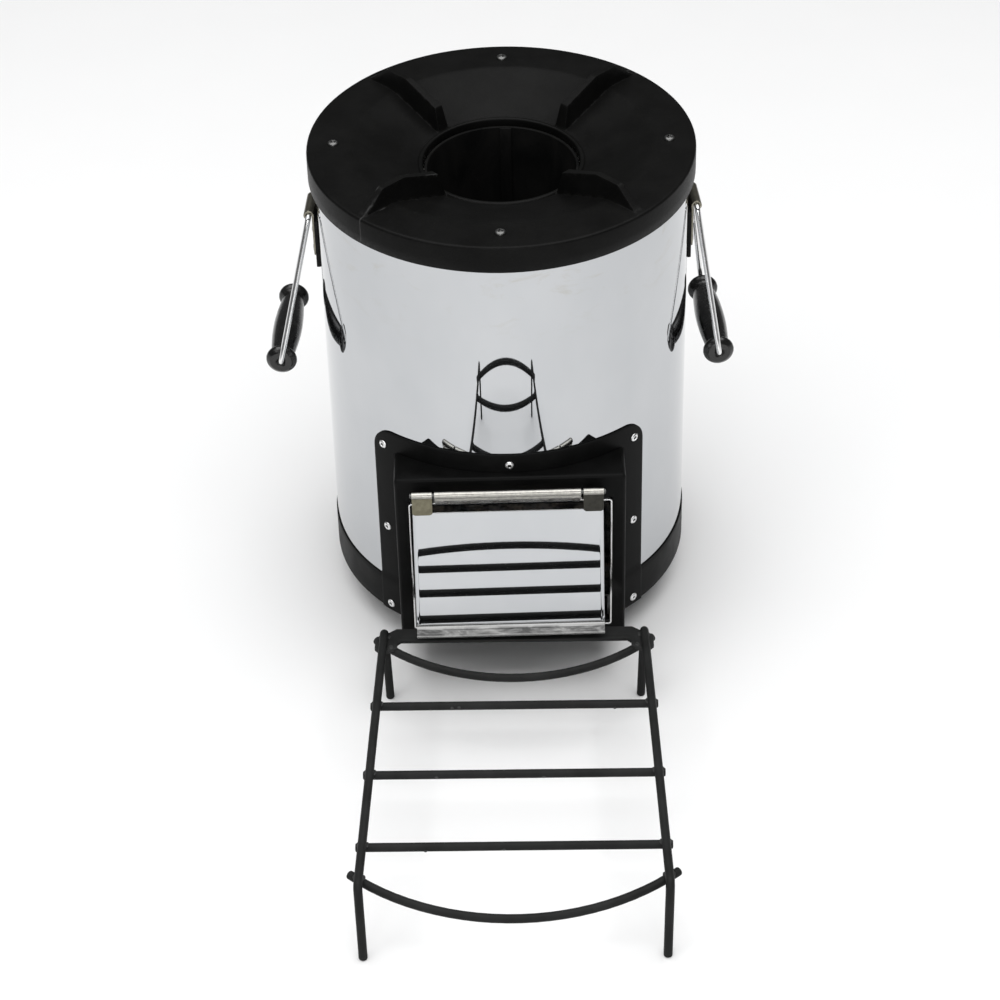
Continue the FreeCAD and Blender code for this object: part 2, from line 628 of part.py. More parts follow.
# ---- assembly ----
def stove_nodes():
    rivets = Part.makeCompound([frame_rivet(a, z) for a, z in FRAME_RIVETS])
    return {
        "top_plate": turned(top_plate(), LID_TURN),
        "lid_screws": turned(four_times(lid_screw()), LID_TURN),
        "lid_tabs": turned(four_times(lid_tab()), LID_TURN),
        "lid_nuts": turned(four_times(lid_nut()), LID_TURN),
        "outer_shell": outer_shell(),
        "base_foot": base_foot(),
        "base_pan": base_pan(),
        "door_frame": door_frame(),
        "frame_rivets": rivets,
        "fuel_sleeve": fuel_sleeve(),
        "firebox": firebox(),
        "riser_tube": riser_tube(),
        "riser_gasket": riser_gasket(),
        "upper_insulation": upper_insulation(),
        "lower_insulation": lower_insulation(),
        "base_board": base_board(),
        "hearth_plate": hearth_plate(),
        "fuel_grate": fuel_grate(),
        "grate_left_leg": grate_leg(-1),
        "grate_right_leg": grate_leg(1),
        "hinge_leaf": shifted(hinge_leaf(), HINGE_SHIFT),
        "hinge_pin": shifted(hinge_pin(), HINGE_SHIFT),
        "fuel_door": shifted(fuel_door(), HINGE_SHIFT),
        "door_left_tab": shifted(door_tab(-1), HINGE_SHIFT),
        "door_right_tab": shifted(door_tab(1), HINGE_SHIFT),
    }


def handle_nodes():
    nodes = {}
    for side, tilt in HANDLE_TILT.items():
        nodes[side + "_handle_bracket"] = place_handle(handle_bracket(), side)
        nodes[side + "_handle_pad"] = place_handle(handle_pad(), side)
        nodes[side + "_handle_rivets"] = place_handle(handle_rivets(), side)
        nodes[side + "_handle_bail"] = place_handle(handle_bail(tilt), side)
        nodes[side + "_handle_grip"] = place_handle(handle_grip(tilt), side)
    return nodes


def rack_nodes():
    near_arc = arc_rod(*NEAR_ARC)
    left, right = side_rail(-1), side_rail(1)
    nodes = {"rack_near_arc": near_arc, "rack_far_arc": arc_rod(*FAR_ARC), "rack_left_rail": left,
             "rack_right_rail": right, "rack_sill": rack_sill((near_arc, left, right))}
    for number, (y, half) in enumerate(CROSSBARS, 1):
        nodes["rack_crossbar_" + str(number)] = crossbar(y, half)
    return {name: shifted(turned(rod, RACK_TURN), RACK_SHIFT) for name, rod in nodes.items()}


def lifted(nodes):
    for shape in nodes.values():
        shape.translate(V(0, 0, BASE_LIFT))
    return nodes


os.makedirs("parts", exist_ok=True)
for name, shape in {**lifted(stove_nodes()), **lifted(handle_nodes()), **rack_nodes()}.items():
    shape.exportStep("parts/" + name + ".step")
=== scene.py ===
"""Looks of the rocket stove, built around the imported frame. Shapes are worked out in millimetres."""

import json
import random
from math import asin, ceil, copysign, cos, degrees, exp, hypot, pi, radians, sin, sqrt, tan

import bmesh
import bpy
from mathutils import Matrix, Vector, noise


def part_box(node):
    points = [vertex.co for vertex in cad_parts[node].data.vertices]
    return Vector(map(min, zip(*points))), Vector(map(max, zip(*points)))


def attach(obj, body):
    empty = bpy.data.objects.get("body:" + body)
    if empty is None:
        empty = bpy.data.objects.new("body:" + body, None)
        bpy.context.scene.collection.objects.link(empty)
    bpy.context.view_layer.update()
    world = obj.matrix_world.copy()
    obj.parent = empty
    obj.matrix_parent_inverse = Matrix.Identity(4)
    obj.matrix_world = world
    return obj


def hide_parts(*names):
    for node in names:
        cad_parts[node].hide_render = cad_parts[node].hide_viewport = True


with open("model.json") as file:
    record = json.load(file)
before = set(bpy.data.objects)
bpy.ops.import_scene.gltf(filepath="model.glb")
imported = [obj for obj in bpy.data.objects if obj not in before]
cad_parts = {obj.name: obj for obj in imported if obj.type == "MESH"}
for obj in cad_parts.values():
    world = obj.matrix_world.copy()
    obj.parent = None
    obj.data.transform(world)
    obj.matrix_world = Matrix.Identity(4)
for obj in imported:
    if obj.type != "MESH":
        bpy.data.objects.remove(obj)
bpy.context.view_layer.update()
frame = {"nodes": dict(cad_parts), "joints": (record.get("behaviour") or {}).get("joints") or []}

MM = 0.001
X, Y, Z = Vector((1, 0, 0)), Vector((0, 1, 0)), Vector((0, 0, 1))
BASE_LIFT = 25.0         # the stove's shapes are worked out from the underside of its base pan


def box_mm(node, lift=BASE_LIFT):
    low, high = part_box(node)
    return low / MM - Z * lift, high / MM - Z * lift


def shift(offset):
    return Matrix.Translation(offset)


def rotate(angle, axis):
    return Matrix.Rotation(angle, 4, axis)


# ---- sizes read from the frame ----
lid_low, lid_high = box_mm("top_plate")
shell_low, shell_high = box_mm("outer_shell")
pan_high = box_mm("base_pan")[1]
frame_low, frame_high = box_mm("door_frame")
sleeve_low, sleeve_high = box_mm("fuel_sleeve")
firebox_low, firebox_high = box_mm("firebox")
riser_low, riser_high = box_mm("riser_tube")
leaf_low, leaf_high = box_mm("hinge_leaf")
pin_low, pin_high = box_mm("hinge_pin")
door_low, door_high = box_mm("fuel_door")
screw_low, screw_high = box_mm("lid_screws")
foot_low, foot_high = box_mm("base_foot")
bar_low, bar_high = box_mm("rack_crossbar_1", 0)
joints = {joint["name"]: joint for joint in frame["joints"]}

LID_R = 135.0
LID_TOP = 340.5
LID_SKIRT = 20.0
LID_WALL = 5.0
LID_EDGE = 2.0
RECESS_R = 105.0
HOLE_R = 54.7
HOLE_Z = 325.2
RIB_TOP = lid_high.z
RIB_HALF = 2.2
RIB_DRAFT = 0.093
RIB_CREST = ((130.0, 340.3), (113.0, RIB_TOP), (93.0, RIB_TOP), (62.5, 343.0), (58.0, HOLE_Z - 0.5))
DISH_PARTS = 26          # steps of a ring between two ribs
COLLAR_WALL = 4.0
HOLE_LIP_R = 1.7
RECESS_BLEND = 1.6
RIB_FILLET = 1.0
CREST_BLEND = 0.35
RIB_REACH = 14.0         # nothing of a rib is further than this from its middle line
DROP = 400.0             # slope of a rib's ends, down into the casting
CAST_WAVE = 0.08         # unevenness of the cast surface
SCREW_CIRCLE_R = 116.5
LID_PLACE = rotate(radians(-1.2), "Z")

BODY_R = shell_high.x
SHELL_TOP = (shell_high.z + BASE_LIFT) * MM
STAIN_GAP = 0.012        # the heat stains are strongest this far below the shell's top
STAIN_DEPTH = 0.075
SHEET_T = 0.8
WINDOW_X = firebox_high.x
WINDOW_Z0 = firebox_low.z
WINDOW_Z1 = firebox_high.z
PAN_R = pan_high.x
PAN_TOP = pan_high.z

FRAME_T = 1.2
FRAME_HALF_ANGLE = radians(46.3)
FRAME_CORNER = 17.0
BOX_X = 81.0
BOX_FRONT = frame_low.y
BOX_Z0 = 2.1
BOX_Z1 = 152.0
BOX_EDGE = 2.5
FRAME_RIVETS = ((-42.4, 154.3), (-42.4, 80.0), (-42.4, 7.3), (0.0, 158.6),
                (42.4, 7.3), (42.4, 80.0), (42.4, 154.3))
RIVET_R = 3.2
RIVET_H = 1.1

SLEEVE_X = sleeve_high.x
SLEEVE_Z0 = sleeve_low.z
SLEEVE_Z1 = firebox_high.z - 2.0
SLEEVE_FRONT = sleeve_low.y
SLEEVE_BACK = sleeve_high.y
SLEEVE_T = 1.2

hinge = Vector(joints["fuel_door_hinge"]["pos_m"]) / MM - Z * BASE_LIFT
DOOR_TILT = -joints["fuel_door_hinge"]["range_deg"][0]
DOOR_X = (door_high.x - door_low.x) / 2
TAB_X = 52.6
DOOR_TOP = 14.8
DOOR_FOLD = 105.0
TAB_LAP = 1.4
LIP_RUN = 9.0 * sqrt(0.5)
# Heights in metres that bound the painted dark reflection band across the lip's middle.
LIP_LOW = (door_low.z + BASE_LIFT) * MM + 0.0008
LIP_TOP = LIP_LOW + 0.0042
LIP_FADE = 0.0012
KNUCKLE_RI = 1.55
HINGE_SHEET = 1.0
LEAF_X = (leaf_high.x - leaf_low.x) / 2
PIN_END = (pin_high.x - pin_low.x) / 2
SIDE_ROLL = 2.3          # the door's sides are rolled back
ROLL_RAMP = 4.0          # the roll grows to its full size over this height above the lip
LIP_BOW = 0.9            # the lip curves forward by up to a quarter of this
TAB_SHOULDER = 2.4       # below the pin: the knuckle ends and the strap begins
TAB_CORNER = 2.0

# The door's sheets are made a little thinner than the steel, so that touching sheets share no surface.
DOOR_FORM = {"thickness": HINGE_SHEET * 0.96, "offset": 0.0, "bevel": 0.15, "sharp": 50}

HANDLE_YAW = radians(4.0)
PIVOT_R = 136.0
PIVOT_Z = joints["left_handle_swing"]["pos_m"][2] / MM - BASE_LIFT
BAIL_R = 2.0
BAIL_REACH = 107.0
BARREL_HALF = 13.0
BARREL_RI = 2.1
BRACKET_T = 1.6
BRACKET_Z0 = 250.0
BRACKET_CORNER = 6.0
BRACKET_BACK = PIVOT_R - BARREL_RI - BRACKET_T
BRACKET_RIVETS = ((-8.0, 257.0), (-8.0, 272.0), (8.0, 257.0), (8.0, 272.0))
PAD_HALF = 16.0
GRIP_HALF = 44.0
HANDLE_TILT = {"left": radians(12.5), "right": radians(7.7)}

ROD_R = (bar_high.z - bar_low.z) / 2
BAR_Z = (bar_high.z + bar_low.z) / 2
RAIL_Z = BAR_Z + 2 * ROD_R
RAIL_BEND = 4.5
FOOT_NEAR = (90.9, -167.2)
BEND_NEAR = (92.8, -162.6)
BEND_FAR = (100.7, -413.8)
FOOT_FAR = (99.8, -420.7)
CROSSBARS = ((-236.3, 100.0), (-304.8, 102.2), (-372.8, 104.3))
NEAR_ARC = (98.9, -165.8, -208.1)
FAR_ARC = (107.4, -396.8, -437.6)
SILL_Z = (55.6, 58.6)
SILL_HALF_OUTLINE = ((84.2, -159.3), (95.3, -167.3), (99.2, -169.7), (99.2, -179.7), (96.3, -183.0),
                     (90.0, -183.0), (83.4, -180.0), (83.2, -174.8), (80.5, -172.2))
RACK_PLACE = shift((3.9, 0, 0)) @ rotate(radians(-1.2), "Z")


# ---- mesh helpers ----
def soft_max(a, b, k):
    return (a + b + sqrt((a - b) ** 2 + k * k)) / 2


def soft_min(a, b, k):
    return (a + b - sqrt((a - b) ** 2 + k * k)) / 2


def spread(start, stop, step):
    """Evenly spaced values from start to stop, both included, no further apart than step."""
    count = max(1, ceil(abs(stop - start) / step - 1e-6))
    return [start + (stop - start) * i / count for i in range(count + 1)]


def on_line(points, x):
    """Value at x of the line through (x, value) points whose x falls. Past the last point it drops away."""
    for (x0, v0), (x1, v1) in zip(points, points[1:]):
        if x >= x1:
            return v0 + (v1 - v0) * (x0 - x) / (x0 - x1)
    return points[-1][1] - DROP * (points[-1][0] - x)


def around(angle, radius, z):
    """Point on a cylinder about the stove's axis. Angle 0 faces the fuel door, and grows towards +X."""
    return Vector((radius * sin(angle), -radius * cos(angle), z))


def grid_mesh(rows, close_rows=False, close_columns=False, skip=None):
    """Quads between rows of points. skip(i, j) leaves out the quad that starts at row i, column j."""
    mesh = bmesh.new()
    verts = [[mesh.verts.new(point) for point in row] for row in rows]
    last_row = len(rows) if close_rows else len(rows) - 1
    columns = len(rows[0])
    last_column = columns if close_columns else columns - 1
    for i in range(last_row):
        upper = verts[i]
        lower = verts[(i + 1) % len(rows)]
        for j in range(last_column):
            if skip and skip(i, j):
                continue
            k = (j + 1) % columns
            mesh.faces.new((upper[j], upper[k], lower[k], lower[j]))
    loose = [v for v in mesh.verts if not v.link_faces]
    bmesh.ops.delete(mesh, geom=loose, context="VERTS")
    return mesh


def lathe_mesh(profile, segments, closed=False, shape=None):
    """Turns a (radius, z) profile about Z. shape(radius, z, angle) may change the radius."""
    rows = []
    for radius, z in profile:
        row = []
        for k in range(segments):
            angle = 2 * pi * k / segments
            r = shape(radius, z, angle) if shape else radius
            row.append(Vector((r * cos(angle), r * sin(angle), z)))
        rows.append(row)
    mesh = grid_mesh(rows, close_rows=closed, close_columns=True)
    bmesh.ops.remove_doubles(mesh, verts=mesh.verts, dist=1e-4)
    return mesh


def join_meshes(meshes):
    total = bmesh.new()
    for mesh in meshes:
        data = bpy.data.meshes.new("part")
        mesh.to_mesh(data)
        mesh.free()
        total.from_mesh(data)
        bpy.data.meshes.remove(data)
    return total


def move_mesh(mesh, matrix):
    bmesh.ops.transform(mesh, matrix=matrix, verts=mesh.verts)
    return mesh


def smooth_path(points, bend, steps=6):
    """Points of straight runs joined by tangent arcs of one bend radius."""
    path = [points[0]]
    for before, corner, after in zip(points, points[1:], points[2:]):
        into = (corner - before).normalized()
        out = (after - corner).normalized()
        turn = into.angle(out)
        setback = bend * tan(turn / 2)
        centre = corner + (out - into).normalized() * (bend / cos(turn / 2))
        first = corner - into * setback - centre
        side = into
        for k in range(steps + 1):
            a = turn * k / steps
            path.append(centre + first * cos(a) + side * bend * sin(a))
    path.append(points[-1])
    return path


def split_runs(path, step):
    """The same path with its long straight runs divided."""
    result = [path[0]]
    for a, b in zip(path, path[1:]):
        count = max(1, ceil((b - a).length / step))
        result += [a.lerp(b, k / count) for k in range(1, count + 1)]
    return result


def tube_mesh(path, radius, sides=20, ends=0.8, wobble=0.0):
    """Round rod along a path, with rounded ends and an optional surface unevenness."""
    rows = []
    reference = None
    last = len(path) - 1
    for i, point in enumerate(path):
        ahead = path[min(i + 1, last)] - path[max(i - 1, 0)]
        tangent = ahead.normalized()
        if reference is None:
            reference = tangent.orthogonal().normalized()
        reference = (reference - tangent * reference.dot(tangent)).normalized()
        other = tangent.cross(reference)
        row = []
        for k in range(sides):
            a = 2 * pi * k / sides
            direction = reference * cos(a) + other * sin(a)
            r = radius + wobble * noise.noise((point + direction * radius) * 0.35)
            row.append(point + direction * r)
        rows.append(row)
    rows = rounded_end(rows, path[0], (path[0] - path[1]).normalized(), radius, ends, True)
    rows = rounded_end(rows, path[-1], (path[-1] - path[-2]).normalized(), radius, ends, False)
    mesh = grid_mesh(rows, close_columns=True)
    bmesh.ops.remove_doubles(mesh, verts=mesh.verts, dist=1e-4)
    return mesh


def rounded_end(rows, centre, outward, radius, ends, at_start):
    """Replaces an end ring by a rounded edge and closes it. The rod keeps its length."""
    ring = rows[0] if at_start else rows[-1]
    body = rows[1:] if at_start else rows[:-1]
    cap = []
    for k in range(5):
        a = pi / 2 * k / 4
        shrink = (radius - ends * (1 - cos(a))) / radius
        back = ends * (1 - sin(a))
        cap.append([centre + (p - centre) * shrink - outward * back for p in ring])
    cap.append([centre + (p - centre) * 0.0 for p in ring])
    return cap[::-1] + body if at_start else body + cap


def plate_mesh(outline, z0, z1):
    """Flat plate from an (x, y) outline."""
    mesh = bmesh.new()
    low = [mesh.verts.new((x, y, z0)) for x, y in outline]
    high = [mesh.verts.new((x, y, z1)) for x, y in outline]
    mesh.faces.new(high)
    mesh.faces.new(low[::-1])
    for k in range(len(outline)):
        n = (k + 1) % len(outline)
        mesh.faces.new((low[k], low[n], high[n], high[k]))
    bmesh.ops.recalc_face_normals(mesh, faces=mesh.faces)
    return mesh


def blob_mesh(centre, size, seed):
    """Small uneven lump of weld metal."""
    mesh = bmesh.new()
    bmesh.ops.create_icosphere(mesh, subdivisions=3, radius=1.0)
    offset = Vector((seed * 7.3, seed * 3.1, seed * 5.7))
    for v in mesh.verts:
        v.co *= 1 + 0.22 * noise.noise(v.co * 1.6 + offset)
        v.co = Vector((v.co.x * size[0], v.co.y * size[1], v.co.z * size[2])) + centre
    return mesh


def make_object(name, mesh, thickness=0.0, offset=-1.0, bevel=0.0, sharp=35, lift=BASE_LIFT):
    """Turns a millimetre bmesh into a finished object in metres, with its modifiers applied."""
    bmesh.ops.recalc_face_normals(mesh, faces=mesh.faces)
    data = bpy.data.meshes.new(name)
    mesh.to_mesh(data)
    mesh.free()
    piece = bpy.data.objects.new(name, data)
    bpy.context.scene.collection.objects.link(piece)
    if thickness:
        solid = piece.modifiers.new("thickness", "SOLIDIFY")
        solid.thickness = thickness
        solid.offset = offset
        solid.use_even_offset = True
    if bevel:
        edge = piece.modifiers.new("edges", "BEVEL")
        edge.width = bevel
        edge.segments = 2
        edge.limit_method = "ANGLE"
        edge.angle_limit = radians(40)
    graph = bpy.context.evaluated_depsgraph_get()
    final = bpy.data.meshes.new_from_object(piece.evaluated_get(graph))
    piece.modifiers.clear()
    piece.data = final
    bpy.data.meshes.remove(data)
    final.name = name
    final.transform(Matrix.Scale(MM, 4) @ shift(Z * lift))
    final.shade_smooth()
    final.set_sharp_from_angle(angle=radians(sharp))
    return piece


def add(name, mesh, finish, body, *nodes, **form):
    """Makes a piece that rides on a body, with the material of a (material, slot) finish, in place of the
    named CAD nodes.
    """
    piece = make_object(name, mesh, **form)
    material, slot = finish
    piece.data.materials.clear()
    piece.data.materials.append(material)
    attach(piece, body)
    if nodes:
        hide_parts(*nodes)
    return piece


# ---- material helpers ----
class Shader:
    """A new material and short ways to wire its nodes."""

    def __init__(self, name, **sockets):
        self.material = bpy.data.materials.new(name)
        self.material.use_nodes = True
        self.tree = self.material.node_tree
        self.principled = self.tree.nodes["Principled BSDF"]
        self.coordinates = self.node("TexCoord").outputs["Object"]
        names = {"metallic": "Metallic", "roughness": "Roughness", "ior": "IOR", "sheen": "Sheen Weight",
                 "specular": "Specular IOR Level"}
        for key, number in sockets.items():
            self.principled.inputs[names[key]].default_value = number

    def feed(self, socket, item):
        """Links an output to a socket, or sets the socket to a constant."""
        if isinstance(item, bpy.types.NodeSocket):
            self.tree.links.new(item, socket)
        else:
            socket.default_value = item

    def node(self, kind, **inputs):
        """Adds a node and fills its inputs, whose names have _ for a space."""
        node = self.tree.nodes.new("ShaderNode" + kind)
        for name, item in inputs.items():
            self.feed(node.inputs[name.replace("_", " ")], item)
        return node

    def colour(self, output):
        self.feed(self.principled.inputs["Base Color"], output)

    def rough(self, output):
        self.feed(self.principled.inputs["Roughness"], output)

    def noise(self, size_mm, detail=3.0, roughness=0.55, stretch=(1, 1, 1), distortion=0.0):
        """Noise whose features are about size_mm across, longer along an axis whose stretch is over 1."""
        mapping = self.node("Mapping", Vector=self.coordinates, Scale=[1 / s for s in stretch])
        texture = self.node("TexNoise", Vector=mapping.outputs["Vector"], Scale=1 / (size_mm * MM),
                            Detail=detail, Roughness=roughness, Distortion=distortion)
        return texture.outputs["Fac"]

    def height(self):
        """The height above the ground, in metres."""
        return self.node("SeparateXYZ", Vector=self.coordinates).outputs["Z"]

    def edges(self):
        """Higher than a half on convex edges and lower in hollows."""
        return self.node("NewGeometry").outputs["Pointiness"]

    def remap(self, source, low, high, to_low=0.0, to_high=1.0):
        node = self.node("MapRange", Value=source, From_Min=low, From_Max=high, To_Min=to_low, To_Max=to_high)
        return node.outputs["Result"]

    def math(self, operation, a, b):
        node = self.node("Math")
        node.operation = operation
        self.feed(node.inputs[0], a)
        self.feed(node.inputs[1], b)
        return node.outputs["Value"]

    def mix(self, factor, first, second):
        """Mixes two colours, each a tuple or an output."""
        node = self.node("Mix")
        node.data_type = "RGBA"
        self.feed(node.inputs["Factor"], factor)
        for name, item in (("A", first), ("B", second)):
            socket = [s for s in node.inputs if s.name == name and s.type == "RGBA"][0]
            self.feed(socket, (*item, 1) if isinstance(item, tuple) else item)
        return [s for s in node.outputs if s.type == "RGBA"][0]

    def bumps(self, *layers):
        """Bump from (height output, depth in mm) layers, one over the other. Gives the finished material."""
        normal = None
        for source, depth_mm in layers:
            node = self.node("Bump", Distance=depth_mm * MM, Height=source)
            if normal:
                self.feed(node.inputs["Normal"], normal)
            normal = node.outputs["Normal"]
        self.feed(self.principled.inputs["Normal"], normal)
        return self.material


def grey(level, tint=(1.0, 1.0, 1.0)):
    return tuple(level * t for t in tint)


# ---- materials ----
def polished_stainless(name, haze, tint_height=None):
    """Mirror sheet with cloudy polish, fine rub lines and, under the top plate, faint heat stains."""
    s = Shader(name, metallic=1.0)
    cloud = s.noise(70, 3, 0.6, (1, 1, 1.6))
    lines = s.noise(0.8, 2, 0.6, (1, 1, 60))
    smear = s.noise(13, 5, 0.62, (2.2, 2.2, 1), 0.8)
    colour = s.mix(s.remap(cloud, 0.35, 0.7), grey(0.535, (0.98, 1, 1.025)), grey(0.50, (0.975, 1, 1.03)))
    rubbed = s.remap(lines, 0.3, 0.7, haze * 0.5, haze)
    rough = s.math("ADD", rubbed, s.remap(smear, 0.62, 0.8, 0.0, haze * 1.2))
    if tint_height:
        band = s.remap(s.height(), tint_height - STAIN_DEPTH, tint_height)
        stain = s.math("MULTIPLY", band, s.remap(smear, 0.56, 0.74))
        colour = s.mix(stain, colour, grey(0.44, (1.03, 1.0, 0.93)))
        rough = s.math("ADD", rough, s.math("MULTIPLY", stain, 0.10))
    s.colour(colour)
    s.rough(rough)
    return s.bumps((s.noise(140, 1, 0.4), 0.045), (lines, 0.0004))


def brushed_lip():
    """Lip of the door: rubbed along its length, with a painted dark reflection band across the middle of its
    height, mottled in patches.
    """
    s = Shader("lip_stainless", metallic=1.0)
    streak = s.noise(0.9, 4, 0.62, (40, 1, 1))
    patch = s.noise(7, 5, 0.65, (3, 1, 1), 0.8)
    colour = s.mix(s.remap(streak, 0.3, 0.72), grey(0.24), grey(0.15, (1, 0.99, 0.96)))
    # Painted reflection: the middle of the lip's height, away from its edge and its fold, is darkened to near
    # black as the dark line it mirrors; noise patches vary its strength.
    from_edge = s.remap(s.height(), LIP_LOW, LIP_LOW + LIP_FADE)
    to_fold = s.remap(s.height(), LIP_TOP - LIP_FADE, LIP_TOP, 1.0, 0.0)
    painted_reflection_band = s.math("MULTIPLY", s.math("MULTIPLY", from_edge, to_fold), s.remap(patch, 0.38, 0.60, 0.25, 1.0))
    s.colour(s.mix(painted_reflection_band, colour, grey(0.040)))
    s.rough(s.remap(streak, 0.3, 0.7, 0.12, 0.30))
    return s.bumps((streak, 0.012), (patch, 0.03))


def sleeve_stainless():
    """Thin bright sheet with drawn lines along the tunnel and a little scale."""
    s = Shader("sleeve_stainless", metallic=1.0)
    lines = s.noise(0.7, 2, 0.6, (1, 40, 1))
    scale = s.noise(9, 4, 0.6)
    s.colour(s.mix(s.remap(scale, 0.45, 0.75), grey(0.78), grey(0.52, (1.03, 1, 0.95))))
    s.rough(s.remap(lines, 0.3, 0.7, 0.10, 0.24))
    return s.bumps((s.noise(18, 2), 0.12), (lines, 0.002))


def cast_iron():
    """Sand-cast iron, coated matte black: grainy skin, soft mottling, convex edges a little greyer, partly
    rub wear and partly a painted highlight.
    """
    s = Shader("cast_iron", specular=0.07)
    grain = s.noise(1.1, 4, 0.62)
    lumps = s.noise(7, 3, 0.55)
    mottle = s.noise(28, 4, 0.6)
    base = s.mix(s.remap(mottle, 0.35, 0.68), grey(0.0030, (1.0, 1.0, 0.95)), grey(0.0052, (1.0, 1.0, 0.96)))
    speck = s.mix(s.remap(grain, 0.62, 0.78), base, grey(0.014))
    # Convex edges lightened in lumps: partly rub wear, partly a painted highlight along the rim and the rib
    # crests.
    edge_wear_and_highlight = s.math("MULTIPLY", s.remap(s.edges(), 0.545, 0.62), s.remap(lumps, 0.35, 0.6))
    s.colour(s.mix(edge_wear_and_highlight, speck, grey(0.035)))
    s.rough(s.remap(grain, 0.3, 0.75, 0.34, 0.50))
    return s.bumps((lumps, 0.10), (grain, 0.085))


def satin_coat(name, level, gloss, peel=0.020):
    """Baked black coating with orange peel, dust specks and thin spots on the edges."""
    s = Shader(name, specular=0.055)
    skin = s.noise(1.3, 3, 0.5)
    patch = s.noise(22, 3, 0.6)
    base = s.mix(s.remap(patch, 0.35, 0.7), grey(level, (1, 1.02, 1.0)), grey(level * 1.5, (1, 1.02, 1.01)))
    dust = s.remap(s.noise(2.2, 5, 0.7), 0.68, 0.80)
    base = s.mix(dust, base, grey(level * 3.2))
    s.colour(s.mix(s.remap(s.edges(), 0.53, 0.64, 0.0, 0.6), base, grey(level * 5)))
    s.rough(s.remap(patch, 0.3, 0.7, gloss - 0.06, gloss + 0.08))
    return s.bumps((skin, peel), (s.noise(9, 2), 0.03))


def plated_steel(name, bright, tint, rough, scratch_depth=0.0015):
    """Zinc or nickel plate: faint crystal mottling, fine scratches and recesses painted darker as shade."""
    s = Shader(name, metallic=1.0)
    mottle = s.noise(3.2, 4, 0.6)
    scratch = s.noise(0.35, 2, 0.6, (30, 1, 1))
    colour = s.mix(s.remap(mottle, 0.35, 0.7), grey(bright, tint), grey(bright * 0.72, tint))
    # Painted shade: hollows (low pointiness) are darkened to about a third of the plate's colour.
    s.colour(s.mix(s.remap(s.edges(), 0.42, 0.48, 1.0, 0.0), colour, grey(bright * 0.35, tint)))
    s.rough(s.remap(scratch, 0.3, 0.72, rough, rough + 0.14))
    return s.bumps((mottle, 0.012), (scratch, scratch_depth))


def chromed_wire():
    s = Shader("chromed_wire", metallic=1.0)
    draw = s.noise(0.5, 2, 0.6, (1, 1, 45))
    pits = s.noise(1.6, 4, 0.65)
    s.colour(s.mix(s.remap(pits, 0.62, 0.76), grey(0.80), grey(0.42, (1, 0.98, 0.94))))
    s.rough(s.remap(draw, 0.3, 0.7, 0.08, 0.17))
    return s.bumps((s.noise(6, 2), 0.03), (pits, 0.006))


def grip_plastic():
    """Glossy moulded phenolic with faint flow marks and hand-worn dull patches."""
    s = Shader("grip_plastic", specular=0.5, ior=1.52)
    flow = s.noise(16, 4, 0.6, (1, 3, 1), 1.5)
    s.colour(s.mix(s.remap(flow, 0.35, 0.7), grey(0.0055), grey(0.0105, (1, 0.98, 0.95))))
    s.rough(s.remap(s.noise(9, 4, 0.6), 0.35, 0.75, 0.16, 0.34))
    return s.bumps((s.noise(5, 2), 0.025), (s.noise(0.6, 2), 0.003))


def sooted_steel():
    """Inside of the chimney: dull, dark, with soot and heat bloom."""
    s = Shader("sooted_steel", metallic=0.0, specular=0.05)
    bloom = s.noise(26, 4, 0.6, (1, 1, 2.2), 0.8)
    flake = s.noise(2.4, 5, 0.66)
    colour = s.mix(s.remap(bloom, 0.35, 0.68), grey(0.004, (1, 1.05, 1.05)), grey(0.010, (1, 0.96, 0.92)))
    s.colour(s.mix(s.remap(flake, 0.6, 0.75), colour, grey(0.002)))
    s.rough(s.remap(flake, 0.3, 0.7, 0.45, 0.72))
    return s.bumps((flake, 0.05))


def inner_steel():
    """Mild steel sheet, blued and browned by heat."""
    s = Shader("inner_steel", metallic=0.85)
    bloom = s.noise(30, 4, 0.62, (1, 1, 1), 1.0)
    colour = s.mix(s.remap(bloom, 0.35, 0.65), grey(0.20, (0.9, 0.97, 1.1)), grey(0.24, (1.15, 0.98, 0.8)))
    soot = s.remap(s.noise(11, 5, 0.65), 0.42, 0.62)
    s.colour(s.mix(soot, colour, grey(0.03)))
    s.rough(s.remap(bloom, 0.3, 0.7, 0.35, 0.6))
    return s.bumps((s.noise(1.2, 4, 0.6), 0.02), (bloom, 0.1))


def ceramic_fibre():
    """Matted white fibre with a few shots of grey."""
    s = Shader("ceramic_fibre", sheen=0.3, roughness=0.95)
    mat = s.noise(2.0, 6, 0.7, (4, 1, 1))
    s.colour(s.mix(s.remap(mat, 0.3, 0.7), grey(0.80, (1, 0.99, 0.95)), grey(0.62, (1, 0.97, 0.9))))
    return s.bumps((mat, 0.5), (s.noise(0.5, 4, 0.7, (1, 5, 1)), 0.15))


def mandrel_steel():
    s = Shader("mandrel_steel", metallic=0.9)
    rust = s.noise(0.7, 4, 0.6)
    # Painted shade: the stub's colour is kept near black to stand for the shadow in the rivet's sunk hole; a
    # rusty tint varies it in specks.
    s.colour(s.mix(s.remap(rust, 0.4, 0.7), grey(0.018), grey(0.010, (1.2, 0.95, 0.75))))
    s.rough(s.remap(rust, 0.3, 0.7, 0.45, 0.7))
    return s.bumps((rust, 0.03))


def floor_material():
    s = Shader("floor_paint", specular=0.2)
    drift = s.noise(900, 3)
    s.colour(s.mix(drift, grey(0.90), grey(0.87)))
    s.rough(s.remap(s.noise(60, 3), 0.3, 0.7, 0.65, 0.8))
    return s.material


